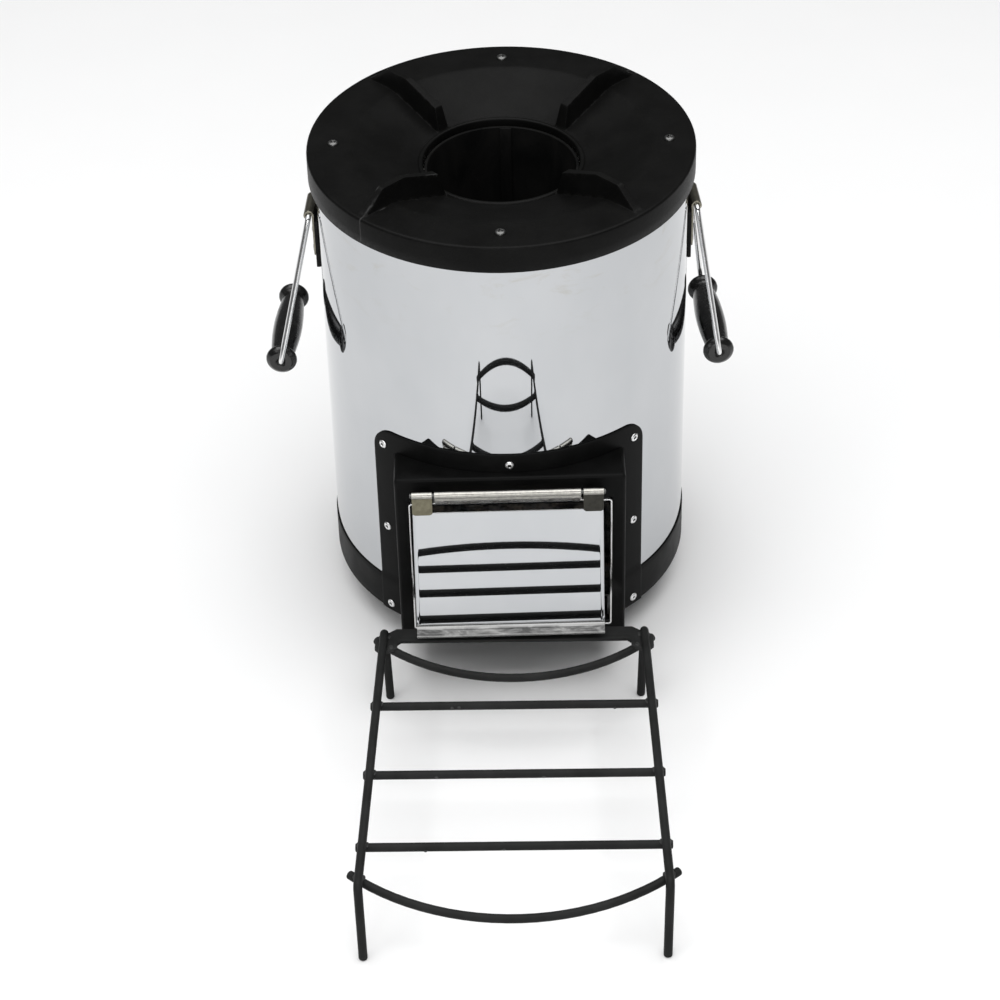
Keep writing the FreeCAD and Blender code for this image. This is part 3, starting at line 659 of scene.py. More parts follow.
# Each finish is a material and the slot that it fills.
BODY_STEEL = polished_stainless("body_stainless", 0.020, SHELL_TOP - STAIN_GAP), "polished_stainless"
DOOR_STEEL = polished_stainless("door_stainless", 0.016), "polished_stainless"
LIP_STEEL = brushed_lip(), "polished_stainless"
SLEEVE_STEEL = sleeve_stainless(), "sleeve_stainless"
IRON = cast_iron(), "cast_iron"
FRAME_COAT = satin_coat("frame_coat", 0.0038, 0.40), "black_coating"
PAN_COAT = satin_coat("pan_coat", 0.0055, 0.44), "black_enamel"
RACK_COAT = satin_coat("rack_coat", 0.015, 0.46, 0.05), "rack_coating"
WELD_COAT = satin_coat("weld_coat", 0.030, 0.50, 0.08), "rack_coating"
PAD_COAT = satin_coat("pad_coat", 0.008, 0.5), "black_coating"
RIVET_METAL = plated_steel("rivet_aluminium", 0.92, (1, 1, 1), 0.30), "rivet_aluminium"
SCREW_METAL = plated_steel("screw_steel", 0.15, (1, 1, 0.98), 0.30), "screw_steel"
HINGE_METAL = plated_steel("hinge_zinc", 0.46, (1, 0.975, 0.90), 0.24, 0.0003), "zinc_steel"
BRACKET_METAL = plated_steel("bracket_zinc", 0.26, (1, 0.94, 0.76), 0.26), "zinc_steel"
# The two tab straps are one zinc plate; the right one is painted much darker and greyer as a painted dark
# reflection.
TAB_METAL = {"left": (plated_steel("left_tab_zinc", 0.20, (1, 0.93, 0.66), 0.26), "zinc_steel"),
             "right": (plated_steel("right_tab_zinc_painted_dark_reflection", 0.055, (1, 0.97, 0.85), 0.30), "zinc_steel")}
WIRE_CHROME = chromed_wire(), "chromed_wire"
GRIP = grip_plastic(), "grip_plastic"
SOOT = sooted_steel(), "sooted_steel"
INNER = inner_steel(), "inner_steel"
FIBRE = ceramic_fibre(), "ceramic_fibre"
MANDREL = mandrel_steel(), "rivet_aluminium"


# ---- top plate ----
def rib_height(x, y):
    """Height of the pot ribs' surface over a point, far below the dish between the ribs."""
    best = -1e3
    for quarter in range(4):
        angle = radians(45 + 90 * quarter)
        along = x * cos(angle) + y * sin(angle)
        across = abs(-x * sin(angle) + y * cos(angle))
        if along > 0 and across < RIB_REACH:
            side = RIB_TOP + (RIB_HALF - across) / RIB_DRAFT
            best = max(best, soft_min(on_line(RIB_CREST, along), side, CREST_BLEND))
    return best


def dish_height(radius):
    slope = (LID_TOP - HOLE_Z) / (RECESS_R - HOLE_R - 2 * HOLE_LIP_R)
    return LID_TOP - slope * soft_max(RECESS_R - radius, 0.0, RECESS_BLEND)


def lid_stations():
    """(radius, height, ribs apply) around the casting's closed section, from the rim's edge inwards."""
    top = spread(LID_R - LID_EDGE, RECESS_R + 2, 1.5) + spread(RECESS_R + 1.4, RECESS_R - 3, 0.7)
    top += spread(RECESS_R - 4, 66, 1.3) + spread(65.4, HOLE_R + 3.6, 0.45)
    stations = [(r, dish_height(r), True) for r in top]
    for k in range(1, 8):
        a = pi * k / 8
        stations.append((HOLE_R + HOLE_LIP_R + HOLE_LIP_R * cos(a), HOLE_Z + 1.3 * sin(a), False))
    collar, skirt, inside = lid_low.z, LID_TOP - LID_SKIRT, BODY_R + 0.5
    outline = [(HOLE_R, HOLE_Z), (HOLE_R, collar + 0.8), (HOLE_R + 0.8, collar),
               (HOLE_R + COLLAR_WALL - 0.8, collar), (HOLE_R + COLLAR_WALL, collar + 0.8),
               (HOLE_R + COLLAR_WALL, HOLE_Z - LID_WALL), (RECESS_R, LID_TOP - LID_WALL),
               (inside, LID_TOP - LID_WALL), (inside, skirt + 0.6), (BODY_R + 1.1, skirt),
               (LID_R - 0.8, skirt), (LID_R, skirt + 0.8), (LID_R, LID_TOP - 12)]
    stations += [(r, z, False) for r, z in outline]
    for k in range(5):
        a = pi / 2 * k / 5
        stations.append((LID_R - LID_EDGE * (1 - cos(a)), LID_TOP - LID_EDGE * (1 - sin(a)), False))
    return stations


def lid_angles(radius):
    """Angles of one ring, crowded across each rib so that its sides and fillets come out clean."""
    offsets = [0, 1.0, 1.7, 2.0, 2.15, 2.22, 2.3, 2.45, 2.6, 2.8, 3.1, 3.4, 3.7, 4.0, 4.3, 4.6, 4.9, 5.3, 5.8,
               6.5, 7.6, 9.2, 11.5]
    angles = []
    for quarter in range(4):
        middle = radians(45 + 90 * quarter)
        spans = [asin(t / radius) for t in offsets]
        angles += [middle - a for a in reversed(spans[1:])] + [middle + a for a in spans]
        free = radians(90) - 2 * spans[-1]
        angles += [middle + spans[-1] + free * k / DISH_PARTS for k in range(1, DISH_PARTS)]
    return angles


def top_plate():
    rows = []
    for radius, z, on_top in lid_stations():
        row = []
        for angle in lid_angles(radius):
            x, y = radius * cos(angle), radius * sin(angle)
            level = z + CAST_WAVE * noise.noise(Vector((x, y, z)) * 0.045)
            if on_top:
                level = soft_max(level, rib_height(x, y), RIB_FILLET)
            row.append(Vector((x, y, min(level, RIB_TOP))))
        rows.append(row)
    mesh = move_mesh(grid_mesh(rows, close_rows=True, close_columns=True), LID_PLACE)
    add("top_plate_casting", mesh, IRON, "stove", "top_plate", sharp=60)


def star_recess(radius, z, angle):
    """Widens the recess of a screw head into a cross."""
    if z < LID_TOP + 1.9 and 0 < radius < 2.0:
        return radius * (0.72 + 0.55 * max(0.0, cos(4 * angle)) ** 2)
    return radius


def lid_screws():
    top = screw_high.z
    profile = [(0, screw_low.z), (2, screw_low.z), (2, LID_TOP - 0.4), (3.8, LID_TOP - 0.2),
               (3.8, LID_TOP + 0.5), (3.65, LID_TOP + 1.0), (3.3, LID_TOP + 1.45), (2.8, LID_TOP + 1.75),
               (2.3, top - 0.05), (2.05, top), (1.9, top - 0.15), (1.5, LID_TOP + 1.0), (0.5, LID_TOP + 0.7),
               (0, LID_TOP + 0.6)]
    meshes = []
    for quarter, turn in enumerate((0.3, 1.1, 0.7, 0.1)):
        screw = lathe_mesh(profile, 40, shape=star_recess)
        spot = LID_PLACE @ rotate(pi / 2 * quarter, "Z") @ shift(X * SCREW_CIRCLE_R)
        meshes.append(move_mesh(screw, spot @ rotate(turn, "Z")))
    add("lid_screw_set", join_meshes(meshes), SCREW_METAL, "stove", "lid_screws", sharp=40)


# ---- body ----
def wall_angles(step_deg):
    """Angles all round, with lines exactly at the sides of the fuel window."""
    edge = degrees(asin(WINDOW_X / BODY_R))
    angles = spread(-180, -edge, step_deg)[:-1] + spread(-edge, edge, step_deg)[:-1]
    angles += spread(edge, 180, step_deg)
    return [radians(a) for a in angles[:-1]], radians(edge)


def window_gap(angles, heights, edge):
    """Tells grid_mesh which quads of a wrapped wall lie in the fuel window."""
    columns = angles + [pi]

    def skip(i, j):
        in_height = WINDOW_Z0 < (heights[i] + heights[i + 1]) / 2 < WINDOW_Z1
        return in_height and abs(columns[j] + columns[j + 1]) / 2 < edge

    return skip


def close_centre(mesh):
    """Fills the small hole that a dish's innermost ring leaves."""
    bmesh.ops.contextual_create(mesh, geom=[v for v in mesh.verts if hypot(v.co.x, v.co.y) < 2.1])


def outer_shell():
    angles, edge = wall_angles(1.25)
    heights = spread(shell_low.z, WINDOW_Z0, 8) + spread(WINDOW_Z0, WINDOW_Z1, 6)[1:]
    heights += spread(WINDOW_Z1, shell_high.z, 5)[1:]
    rows = []
    for z in heights:
        waves = [noise.noise(around(a, 1.6, z * 0.014)) for a in angles]
        rows.append([around(a, BODY_R + 0.05 * wave - 0.04, z) for a, wave in zip(angles, waves)])
    mesh = grid_mesh(rows, close_columns=True, skip=window_gap(angles, heights, edge))
    add("outer_shell_sheet", mesh, BODY_STEEL, "stove", "outer_shell", thickness=SHEET_T, offset=-1.0)


def shell_seam():
    """Lapped edge down the back with its row of spot welds."""
    low, high = PAN_TOP + 0.2, LID_TOP - LID_SKIRT - 0.5
    rows = []
    for z in spread(low, high, 6):
        rows.append([around(pi + radians(a), BODY_R + 0.05, z) for a in spread(-2.4, 2.4, 0.8)])
    add("shell_seam", grid_mesh(rows), BODY_STEEL, "stove", thickness=0.7, offset=1.0, bevel=0.2)
    dimple = [(0, 0.02), (1.2, 0.02), (1.9, 0.10), (2.3, 0.16), (2.7, 0.10), (3.0, -0.05)]
    meshes = []
    for z in spread(low + 12, high - 12, 24):
        spot = shift(around(pi, BODY_R + 0.75, z)) @ rotate(-pi / 2, "X")
        meshes.append(move_mesh(lathe_mesh(dimple, 20), spot))
    add("seam_spot_welds", join_meshes(meshes), BODY_STEEL, "stove")


def base_pan():
    angles, edge = wall_angles(1.5)
    round_r = 1.2
    section = [(r, 0.0) for r in spread(2, PAN_R - round_r, 16)]
    section += [(PAN_R - round_r + round_r * sin(a), round_r - round_r * cos(a))
                for a in spread(0.35, pi / 2, 0.4)]
    section += [(PAN_R, z) for z in spread(6, WINDOW_Z0, 5) + spread(WINDOW_Z0, PAN_TOP, 5)[1:]]
    rows = [[around(a, r, z) for a in angles] for r, z in section]
    mesh = grid_mesh(rows, close_columns=True, skip=window_gap(angles, [z for r, z in section], edge))
    close_centre(mesh)
    add("base_pan_sheet", mesh, PAN_COAT, "stove", "base_pan", thickness=SHEET_T, offset=-1.0, bevel=0.2)


def base_foot():
    """Pressed dish under the pan, with a rolled bead in its wall and a flat rim."""
    bottom, top = foot_low.z, foot_high.z
    wall_r, rim_r = foot_high.x - 8.4, foot_high.x - 0.6
    bend, bead_depth, bead_half = 2.6, 1.2, 2.4
    section = [(r, bottom + 0.6) for r in (2, 20, 40, 60, 75, wall_r - bend)]
    section += [(wall_r - bend + bend * sin(a), bottom + 3.2 - bend * cos(a)) for a in (0.4, 0.8, 1.2)]
    middle = (bottom + top) / 2
    section += [(wall_r - bead_depth * exp(-((z - middle) / bead_half) ** 2), z)
                for z in spread(bottom + 3.2, top - 2.4, 1.2)]
    section += [(wall_r + 0.6, top - 1.2), (wall_r + 1.6, top - 0.7), (rim_r, top - 0.6)]
    mesh = lathe_mesh(section, 144)
    close_centre(mesh)
    add("base_foot_dish", mesh, PAN_COAT, "stove", "base_foot", thickness=1.1, offset=0.0, bevel=0.2)


def riser_tube():
    """Rolled chimney with the lapped seam that shows down the flame hole."""
    outer, inner = riser_high.x, riser_high.x - 2.0
    low, high = riser_low.z, riser_high.z
    wall = [(outer, z) for z in spread(low, high - 0.4, 12)] + [(outer - 0.4, high), (inner + 0.4, high)]
    wall += [(inner, z) for z in spread(high - 0.4, low, 12)]
    tube = lathe_mesh(wall, 120, closed=True)
    rows = [[around(radians(176 + a), inner + 0.1, z) for a in spread(-4.5, 4.5, 1.5)]
            for z in spread(low, high - 0.6, 12)]
    add("riser_lap", grid_mesh(rows), SOOT, "stove", thickness=1.2, offset=-1.0, bevel=0.3)
    add("riser_pipe", tube, SOOT, "stove", "riser_tube")


# ---- door frame ----
def round_corner(x, z, half, top, radius):
    """Bends the square corner of a flat grid into a round one."""
    a, b = abs(x) - (half - radius), z - (top - radius)
    if a <= 0 or b <= 0:
        return x, z
    shrink = max(a, b) / hypot(a, b)
    return copysign(half - radius + a * shrink, x), top - radius + b * shrink


def frame_flange():
    """Sheet wrapped round the body, joggled out over the base pan, with its box window left out."""
    half = BODY_R * FRAME_HALF_ANGLE
    window = BODY_R * asin((BOX_X - 2) / BODY_R)
    across = spread(-half, -half + FRAME_CORNER, 2) + spread(-half + FRAME_CORNER, -window, 2)[1:]
    across += spread(-window, window, 3)[1:-1]
    across = across + [-x for x in reversed(across) if x < -window + 0.1]
    across = sorted(set(round(x, 4) for x in across))
    low, top = frame_low.z, frame_high.z
    up = spread(low, BOX_Z0 + 2, 2) + spread(BOX_Z0 + 2, BOX_Z1 - 2, 3)[1:] + spread(BOX_Z1 - 2, top, 1.8)[1:]
    rows = []
    for z in up:
        row = []
        for x in across:
            flat_x, flat_z = round_corner(x, z, half, top, FRAME_CORNER)
            step = max(0.0, min(1.0, (PAN_TOP + 2.5 - flat_z) / 2.5))
            row.append(around(flat_x / BODY_R, BODY_R + (PAN_R - BODY_R) * step + 0.02, flat_z))
        rows.append(row)

    def skip(i, j):
        x, z = (across[j] + across[j + 1]) / 2, (up[i] + up[i + 1]) / 2
        return abs(x) < window and BOX_Z0 + 2 < z < BOX_Z1 - 2

    return grid_mesh(rows, skip=skip)


def rounded_rectangle(half, low, high, radius, per_side, per_corner):
    """(x, z) points anticlockwise round a rectangle with round corners."""
    centres = ((half - radius, low + radius, -90), (half - radius, high - radius, 0),
               (-half + radius, high - radius, 90), (-half + radius, low + radius, 180))
    corners = []
    for cx, cz, start in centres:
        turns = [radians(start + 90 * k / per_corner) for k in range(per_corner + 1)]
        corners.append([(cx + radius * cos(a), cz + radius * sin(a)) for a in turns])
    points = []
    for corner, following in zip(corners, corners[1:] + corners[:1]):
        (x0, z0), (x1, z1) = corner[-1], following[0]
        points += corner
        points += [(x0 + (x1 - x0) * k / per_side, z0 + (z1 - z0) * k / per_side) for k in range(1, per_side)]
    return points


def frame_box():
    """Raised box: walls that end on the body, rounded front edges, and the lip of the fuel opening."""
    outer = rounded_rectangle(BOX_X, BOX_Z0, BOX_Z1, 3.0, 24, 5)
    opening = rounded_rectangle(SLEEVE_X, SLEEVE_Z0, SLEEVE_Z1, 1.2, 24, 5)
    back_r = BODY_R + 0.6
    rows = [[Vector((x, -sqrt(back_r ** 2 - x * x), z)) for x, z in outer]]
    rows.append([Vector((x, BOX_FRONT + BOX_EDGE + 3, z)) for x, z in outer])
    for k in range(7):
        a = pi / 2 * k / 6
        inset = BOX_EDGE * (1 - cos(a))
        scale_x = (BOX_X - inset) / BOX_X
        middle, half = (BOX_Z0 + BOX_Z1) / 2, (BOX_Z1 - BOX_Z0) / 2
        scale_z = (half - inset) / half
        y = BOX_FRONT + BOX_EDGE * (1 - sin(a))
        rows.append([Vector((x * scale_x, y, middle + (z - middle) * scale_z)) for x, z in outer])
    rows.append([Vector((x, BOX_FRONT, z)) for x, z in opening])
    return grid_mesh(rows, close_columns=True)


def door_frame():
    flange = add("frame_flange", frame_flange(), FRAME_COAT, "stove", "door_frame", thickness=FRAME_T,
                 offset=1.0, bevel=0.3)
    fix_outward(flange)
    add("frame_box", frame_box(), FRAME_COAT, "stove", thickness=FRAME_T, offset=-1.0, bevel=0.25)


def fix_outward(piece):
    """Stops the script if a wrapped sheet grew into the body instead of away from it."""
    inside = min(hypot(v.co.x, v.co.y) for v in piece.data.vertices)
    if inside < (BODY_R - 0.3) * MM:
        raise RuntimeError(piece.name + " grew inwards")


def rivet_meshes(seat_matrices, head_r, head_h):
    """Blind-rivet heads with their sunk mandrel stubs, seated on matrices whose Z points outwards."""
    dome = [(1.38, -0.3), (1.38, head_h - 0.12), (1.5, head_h), (1.95, head_h * 0.94), (2.4, head_h * 0.76),
            (2.8, head_h * 0.52), (3.1, head_h * 0.24), (head_r, 0.0), (head_r, -0.15)]
    stub = [(0, head_h - 0.85), (0.45, head_h - 0.8), (0.95, head_h - 0.9), (1.38, head_h - 1.0),
            (1.38, -0.2)]
    heads = [move_mesh(lathe_mesh(dome, 36), m) for m in seat_matrices]
    stubs = [move_mesh(lathe_mesh(stub, 20), m) for m in seat_matrices]
    return join_meshes(heads), join_meshes(stubs)


def frame_rivets():
    seats = []
    for angle, z in FRAME_RIVETS:
        seat = (PAN_R if z < PAN_TOP else BODY_R) + FRAME_T
        spin = rotate(radians(angle), "Z")
        seats.append(spin @ shift((0, -seat, z)) @ rotate(pi / 2, "X"))
    heads, stubs = rivet_meshes(seats, RIVET_R, RIVET_H)
    add("frame_rivet_heads", heads, RIVET_METAL, "stove", "frame_rivets", sharp=50)
    add("frame_rivet_mandrels", stubs, MANDREL, "stove", sharp=50)


# ---- fuel sleeve, hinge and door ----
def fuel_sleeve():
    outline = rounded_rectangle(SLEEVE_X, SLEEVE_Z0, SLEEVE_Z1, 2.2, 20, 5)
    rows = []
    for y in spread(SLEEVE_FRONT, SLEEVE_BACK, 10):
        ripple = 0.12 if y < SLEEVE_FRONT + 1 else 0.0
        rows.append([Vector((x + ripple * noise.noise(Vector((x, z, 3)) * 0.08) - copysign(ripple, x), y, z))
                     for x, z in outline])
    add("sleeve_tunnel", grid_mesh(rows, close_columns=True), SLEEVE_STEEL, "stove", "fuel_sleeve",
        thickness=SLEEVE_T, bevel=0.25)
    width = LEAF_X + 3
    back = BOX_FRONT - 0.05
    rows = [[Vector((x, back, z)) for x in spread(-width, width, 6)]
            for z in spread(SLEEVE_Z1 - 1, sleeve_high.z, 3)]
    upstand = add("sleeve_upstand", grid_mesh(rows), SLEEVE_STEEL, "stove", thickness=1.1, offset=0.0,
                  bevel=0.25)
    upstand.data.transform(shift((0, -0.6 * MM, 0)))


def roll(centre_y, centre_z, radius, start_deg, stop_deg, steps=18):
    """(y, z) points of a rolled edge seen along X, angles from +Y towards +Z."""
    return [(centre_y + radius * cos(radians(a)), centre_z + radius * sin(radians(a)))
            for a in spread(start_deg, stop_deg, abs(stop_deg - start_deg) / steps)]


def soft_corners(points, radius, steps=4):
    path = smooth_path([Vector((0, y, z)) for y, z in points], radius, steps)
    return [(p.y, p.z) for p in path]


def sheet_grid(section, xs, skip=None):
    rows = [[Vector((x, y, z)) for x in xs] for y, z in section]
    return grid_mesh(rows, skip=skip)


def hinge_leaf():
    """Middle knuckle: a strip rolled round the pin, dropped, stepped back and welded to the sleeve."""
    middle_r = KNUCKLE_RI + HINGE_SHEET / 2
    back = hinge.y + middle_r
    foot = BOX_FRONT - SLEEVE_T - 0.5
    shelf = hinge.z - 7.0
    section = roll(hinge.y, hinge.z, middle_r, -50, -360)[:-1]
    section += soft_corners([(back, hinge.z), (back, shelf), (foot, shelf), (foot, leaf_low.z)], 1.0)
    xs = [-LEAF_X, -LEAF_X + 0.5] + spread(-LEAF_X + 3, LEAF_X - 3, 6) + [LEAF_X - 0.5, LEAF_X]
    mesh = move_mesh(sheet_grid(section, xs), shift(X * hinge.x))
    add("hinge_leaf_strip", mesh, HINGE_METAL, "stove", "hinge_leaf", thickness=HINGE_SHEET, offset=0.0,
        bevel=0.18, sharp=50)
    dimple = [(0, -0.10), (0.9, -0.10), (1.5, 0.12), (1.9, 0.26), (2.3, 0.12), (2.6, -0.1)]
    front = back - HINGE_SHEET / 2
    meshes = []
    for x in (-LEAF_X + 5.5, LEAF_X - 5.5):
        spot = shift((x + hinge.x, front, hinge.z - 4.6)) @ rotate(pi / 2, "X")
        meshes.append(move_mesh(lathe_mesh(dimple, 20), spot))
    add("leaf_spot_welds", join_meshes(meshes), HINGE_METAL, "stove")


def hinge_pin():
    end = PIN_END
    half = [(1.5, end - 1.0), (2.0, end - 0.9), (1.9, end - 0.35), (1.3, end), (0, end)]
    profile = [(r, -x) for r, x in reversed(half)] + half
    mesh = move_mesh(lathe_mesh(profile, 24), shift(hinge) @ rotate(pi / 2, "Y"))
    add("hinge_pin_rod", mesh, SCREW_METAL, "stove", "hinge_pin")


def hang(mesh):
    """Swings a mesh built hanging straight down out to the door's rest position."""
    turn = rotate(-radians(DOOR_TILT), "X")
    return move_mesh(mesh, shift(hinge) @ turn @ shift(X * hinge.x - hinge))


def door_columns(share):
    """(x, setback) across the panel: flat, with each side rolled back by a share of a quarter turn."""
    flat = DOOR_X - HINGE_SHEET / 2 - SIDE_ROLL
    side = []
    for k in range(1, 8):
        a = pi / 2 * k / 7
        straight = flat + (DOOR_X - 0.02 - flat) * k / 7
        side.append((straight + (flat + SIDE_ROLL * sin(a) - straight) * share,
                     SIDE_ROLL * (1 - cos(a)) * share))
    middle = [(x, 0.0) for x in spread(-flat + 0.5, flat - 0.5, 6)]
    left = [(-x, y) for x, y in reversed(side)]
    return left + [(-flat, 0.0)] + middle + [(flat, 0.0)] + side


def fuel_door():
    """Polished panel with a straight top edge, rolled sides and a flared lip with square ends."""
    plane = hinge.y + KNUCKLE_RI + HINGE_SHEET * 1.5
    fold = hinge.z - DOOR_FOLD
    top = hinge.z - DOOR_TOP
    heights = [top, top - 0.5] + spread(top - 4, fold + 7, 6) + spread(fold + 6, fold + 1.2, 0.8)
    rows = []
    for z in heights:
        roll_share = min(1.0, max(0.0, (z - fold - 1.2) / ROLL_RAMP))
        rows.append([Vector((x, plane + back, z)) for x, back in door_columns(roll_share)])
    add("fuel_door_sheet", hang(grid_mesh(rows)), DOOR_STEEL, "fuel_door", "fuel_door",
        **DOOR_FORM)
    reach = LIP_RUN - 0.25
    bend = soft_corners([(plane, fold + 1.3), (plane, fold), (plane - 2.2, fold - 2.2)], 0.9, 6)
    spine = [(plane - reach * t - LIP_BOW * t * (1 - t), fold - reach * t + LIP_BOW * t * (1 - t))
             for t in (0.4, 0.5, 0.6, 0.7, 0.8, 0.92, 1.0)]
    xs = [-DOOR_X + 0.02, -DOOR_X + 0.4] + spread(-DOOR_X + 4, DOOR_X - 4, 6) + [DOOR_X - 0.4, DOOR_X - 0.02]
    add("fuel_door_lip", hang(sheet_grid(bend + spine, xs)), LIP_STEEL, "fuel_door",
        **DOOR_FORM)


def door_tab(side, sign):
    """Short knuckle, and the strap below it that is spot-welded to the front of the panel."""
    middle_r = KNUCKLE_RI + HINGE_SHEET / 2
    front = hinge.y + middle_r
    low = hinge.z - DOOR_TOP - TAB_LAP
    width = DOOR_X - 0.02 - TAB_X
    name = "door_" + side + "_tab"
    curl = roll(hinge.y, hinge.z, middle_r, -50, -360)[:-1]
    curl += [(front, hinge.z), (front, hinge.z - TAB_SHOULDER)]
    rows = [[Vector((sign * (TAB_X + t * width), y, z)) for t in (0, 0.03, 0.3, 0.7, 0.97, 1)]
            for y, z in curl]
    add(name + "_knuckle", hang(grid_mesh(rows)), HINGE_METAL, "fuel_door", name, **DOOR_FORM)
    rows = []
    for z in [hinge.z - TAB_SHOULDER] + spread(hinge.z - 3, low, 0.9):
        into_corner = max(0.0, low + TAB_CORNER - z)
        cut = TAB_CORNER - sqrt(max(0.0, TAB_CORNER ** 2 - into_corner ** 2))
        rows.append([Vector((sign * (TAB_X + cut + (width - 2 * cut) * t), front, z))
                     for t in (0, 0.1, 0.3, 0.7, 0.9, 1)])
    # Each strap takes its side's finish: the right one's darker colour is a painted reflection.
    add(name + "_strap", hang(grid_mesh(rows)), TAB_METAL[side], "fuel_door", **DOOR_FORM)


# ---- handles, worked out for the right side in an unturned frame ----
def handle_place(side):
    turn = rotate(HANDLE_YAW, "Z")
    return turn if side == "right" else Matrix.Scale(-1, 4, X) @ turn


def tilted(side):
    pivot = Vector((PIVOT_R, 0, PIVOT_Z))
    turn = rotate(-HANDLE_TILT[side], "Y")
    return handle_place(side) @ shift(pivot) @ turn @ shift(-pivot)


def handle_bracket(side):
    """Plate whose top is rolled round the bail, open at the front like a hook."""
    middle_r = BARREL_RI + BRACKET_T / 2
    back = PIVOT_R - middle_r
    section = [(y, z) for y, z in roll(PIVOT_R, PIVOT_Z, middle_r, -55, 180, 24)]
    section += [(back, z) for z in spread(PIVOT_Z - 2, BRACKET_Z0, 3)]
    rows = []
    for x, z in section:
        depth = max(0.0, BRACKET_Z0 + BRACKET_CORNER - z)
        half = BARREL_HALF - BRACKET_CORNER + sqrt(max(0.0, BRACKET_CORNER ** 2 - depth * depth))
        rows.append([Vector((x, half * k / 6, z)) for k in range(-6, 7)])
    mesh = move_mesh(grid_mesh(rows), handle_place(side))
    add(side + "_bracket_plate", mesh, BRACKET_METAL, "stove", side + "_handle_bracket", thickness=BRACKET_T,
        offset=0.0, bevel=0.3, sharp=45)
    seats = [handle_place(side) @ shift((BRACKET_BACK + BRACKET_T, u, z)) @
             rotate(pi / 2, "Y") for u, z in BRACKET_RIVETS]
    heads, stubs = rivet_meshes(seats, RIVET_R, RIVET_H)
    add(side + "_bracket_rivet_heads", heads, RIVET_METAL, "stove", side + "_handle_rivets", sharp=50)
    add(side + "_bracket_rivet_mandrels", stubs, MANDREL, "stove", sharp=50)


def handle_pad(side):
    """Packing plate: flat in front, hollowed behind to the body's curve."""
    low, high = box_mm(side + "_handle_pad")
    us = spread(-PAD_HALF, PAD_HALF, 2)
    front = [(BRACKET_BACK, u) for u in us]
    back = [(sqrt(BODY_R ** 2 - u * u), u) for u in reversed(us)]
    ring = front + back
    rows = [[Vector((x, u, z)) for x, u in ring] for z in spread(low.z, high.z, 6)]
    mesh = grid_mesh(rows, close_columns=True)
    for level in (low.z, high.z):
        rim = [e for e in mesh.edges if all(abs(v.co.z - level) < 0.01 for v in e.verts)]
        bmesh.ops.holes_fill(mesh, edges=rim)
    add(side + "_packing_plate", move_mesh(mesh, handle_place(side)), PAD_COAT, "stove", side + "_handle_pad",
        bevel=0.5)


def handle_bail(side):
    low = PIVOT_Z - BAIL_REACH
    top_u, low_u = BARREL_HALF + 2.7, GRIP_HALF + 2.6
    half = [(top_u, PIVOT_Z), (low_u, low), (3, low)]
    corners = [Vector((PIVOT_R, u, z)) for u, z in [(-u, z) for u, z in reversed(half)] + half]
    path = split_runs(smooth_path(corners, 3.2, 8), 8)
    mesh = move_mesh(tube_mesh(path, BAIL_R, 24, 0.5), tilted(side))
    add(side + "_bail_wire", mesh, WIRE_CHROME, side + "_handle", side + "_handle_bail")


def grip_radius(u):
    """Radius of the turned grip at a distance from its middle."""
    u = abs(u)
    bulb = GRIP_HALF - 4.2
    flange = 11.0 - 0.115 * abs(u - bulb) ** 2.55 if u > GRIP_HALF - 9.5 else 0.0
    belly = 7.7 + 2.6 * cos(min(1.0, u / 35.5) * pi / 2) ** 0.9
    return max(5.4, soft_max(flange, belly, 0.9) if u > 26 else belly)


def handle_grip(side):
    """Moulded grip: flanged ends, swelling belly, mould line and sunk ends round the wire."""
    stations = spread(-GRIP_HALF, GRIP_HALF, 0.8)
    edge = grip_radius(GRIP_HALF)
    profile = [(2.1, -GRIP_HALF + 3), (2.9, -GRIP_HALF + 0.6), (4.2, -GRIP_HALF), (edge - 0.5, -GRIP_HALF)]
    profile += [(grip_radius(u), u) for u in stations]
    profile += [(edge - 0.5, GRIP_HALF), (4.2, GRIP_HALF), (2.9, GRIP_HALF - 0.6), (2.1, GRIP_HALF - 3)]

    def mould_line(radius, z, angle):
        ridge = max(0.0, 1 - abs(sin(angle)) * radius / 0.35)
        return radius + (0.10 * ridge if radius > 5 else 0.0)

    mesh = lathe_mesh(profile, 96, shape=mould_line)
    seat = shift((PIVOT_R, 0, PIVOT_Z - BAIL_REACH)) @ rotate(-pi / 2, "X")
    mesh = move_mesh(mesh, tilted(side) @ seat)
    add(side + "_grip_moulding", mesh, GRIP, side + "_handle", side + "_handle_grip", sharp=55)


# ---- stick rack ----
def rack_rod(name, path, node):
    mesh = move_mesh(tube_mesh(split_runs(path, 7), ROD_R, 24, 1.0, 0.05), RACK_PLACE)
    for vert in mesh.verts:
        vert.co.z = max(vert.co.z, 0.0)
    add(name, mesh, RACK_COAT, "stick_rack", node, lift=0)


def arc_radius(half, y_end, y_mid):
    sag = abs(y_mid - y_end)
    return (half ** 2 + sag ** 2) / (2 * sag)


def arc_path(half, y_end, y_mid):
    radius = arc_radius(half, y_end, y_mid)
    reach = asin(half / radius)
    return [around(a, radius, BAR_Z) + Y * (y_mid + radius) for a in spread(-reach, reach, 0.06)]


def rail_corners(sign):
    stations = ((FOOT_NEAR, 0), (BEND_NEAR, RAIL_Z), (BEND_FAR, RAIL_Z), (FOOT_FAR, 0))
    return [Vector((sign * x, y, z)) for (x, y), z in stations]


def rail_x(y):
    """Distance of a rail from the rack's middle line."""
    share = (y - BEND_NEAR[1]) / (BEND_FAR[1] - BEND_NEAR[1])
    return BEND_NEAR[0] + (BEND_FAR[0] - BEND_NEAR[0]) * share


def arc_crossing_y(half, y_end, y_mid):
    radius = arc_radius(half, y_end, y_mid)
    return y_mid + radius - sqrt(radius ** 2 - rail_x(y_end) ** 2)


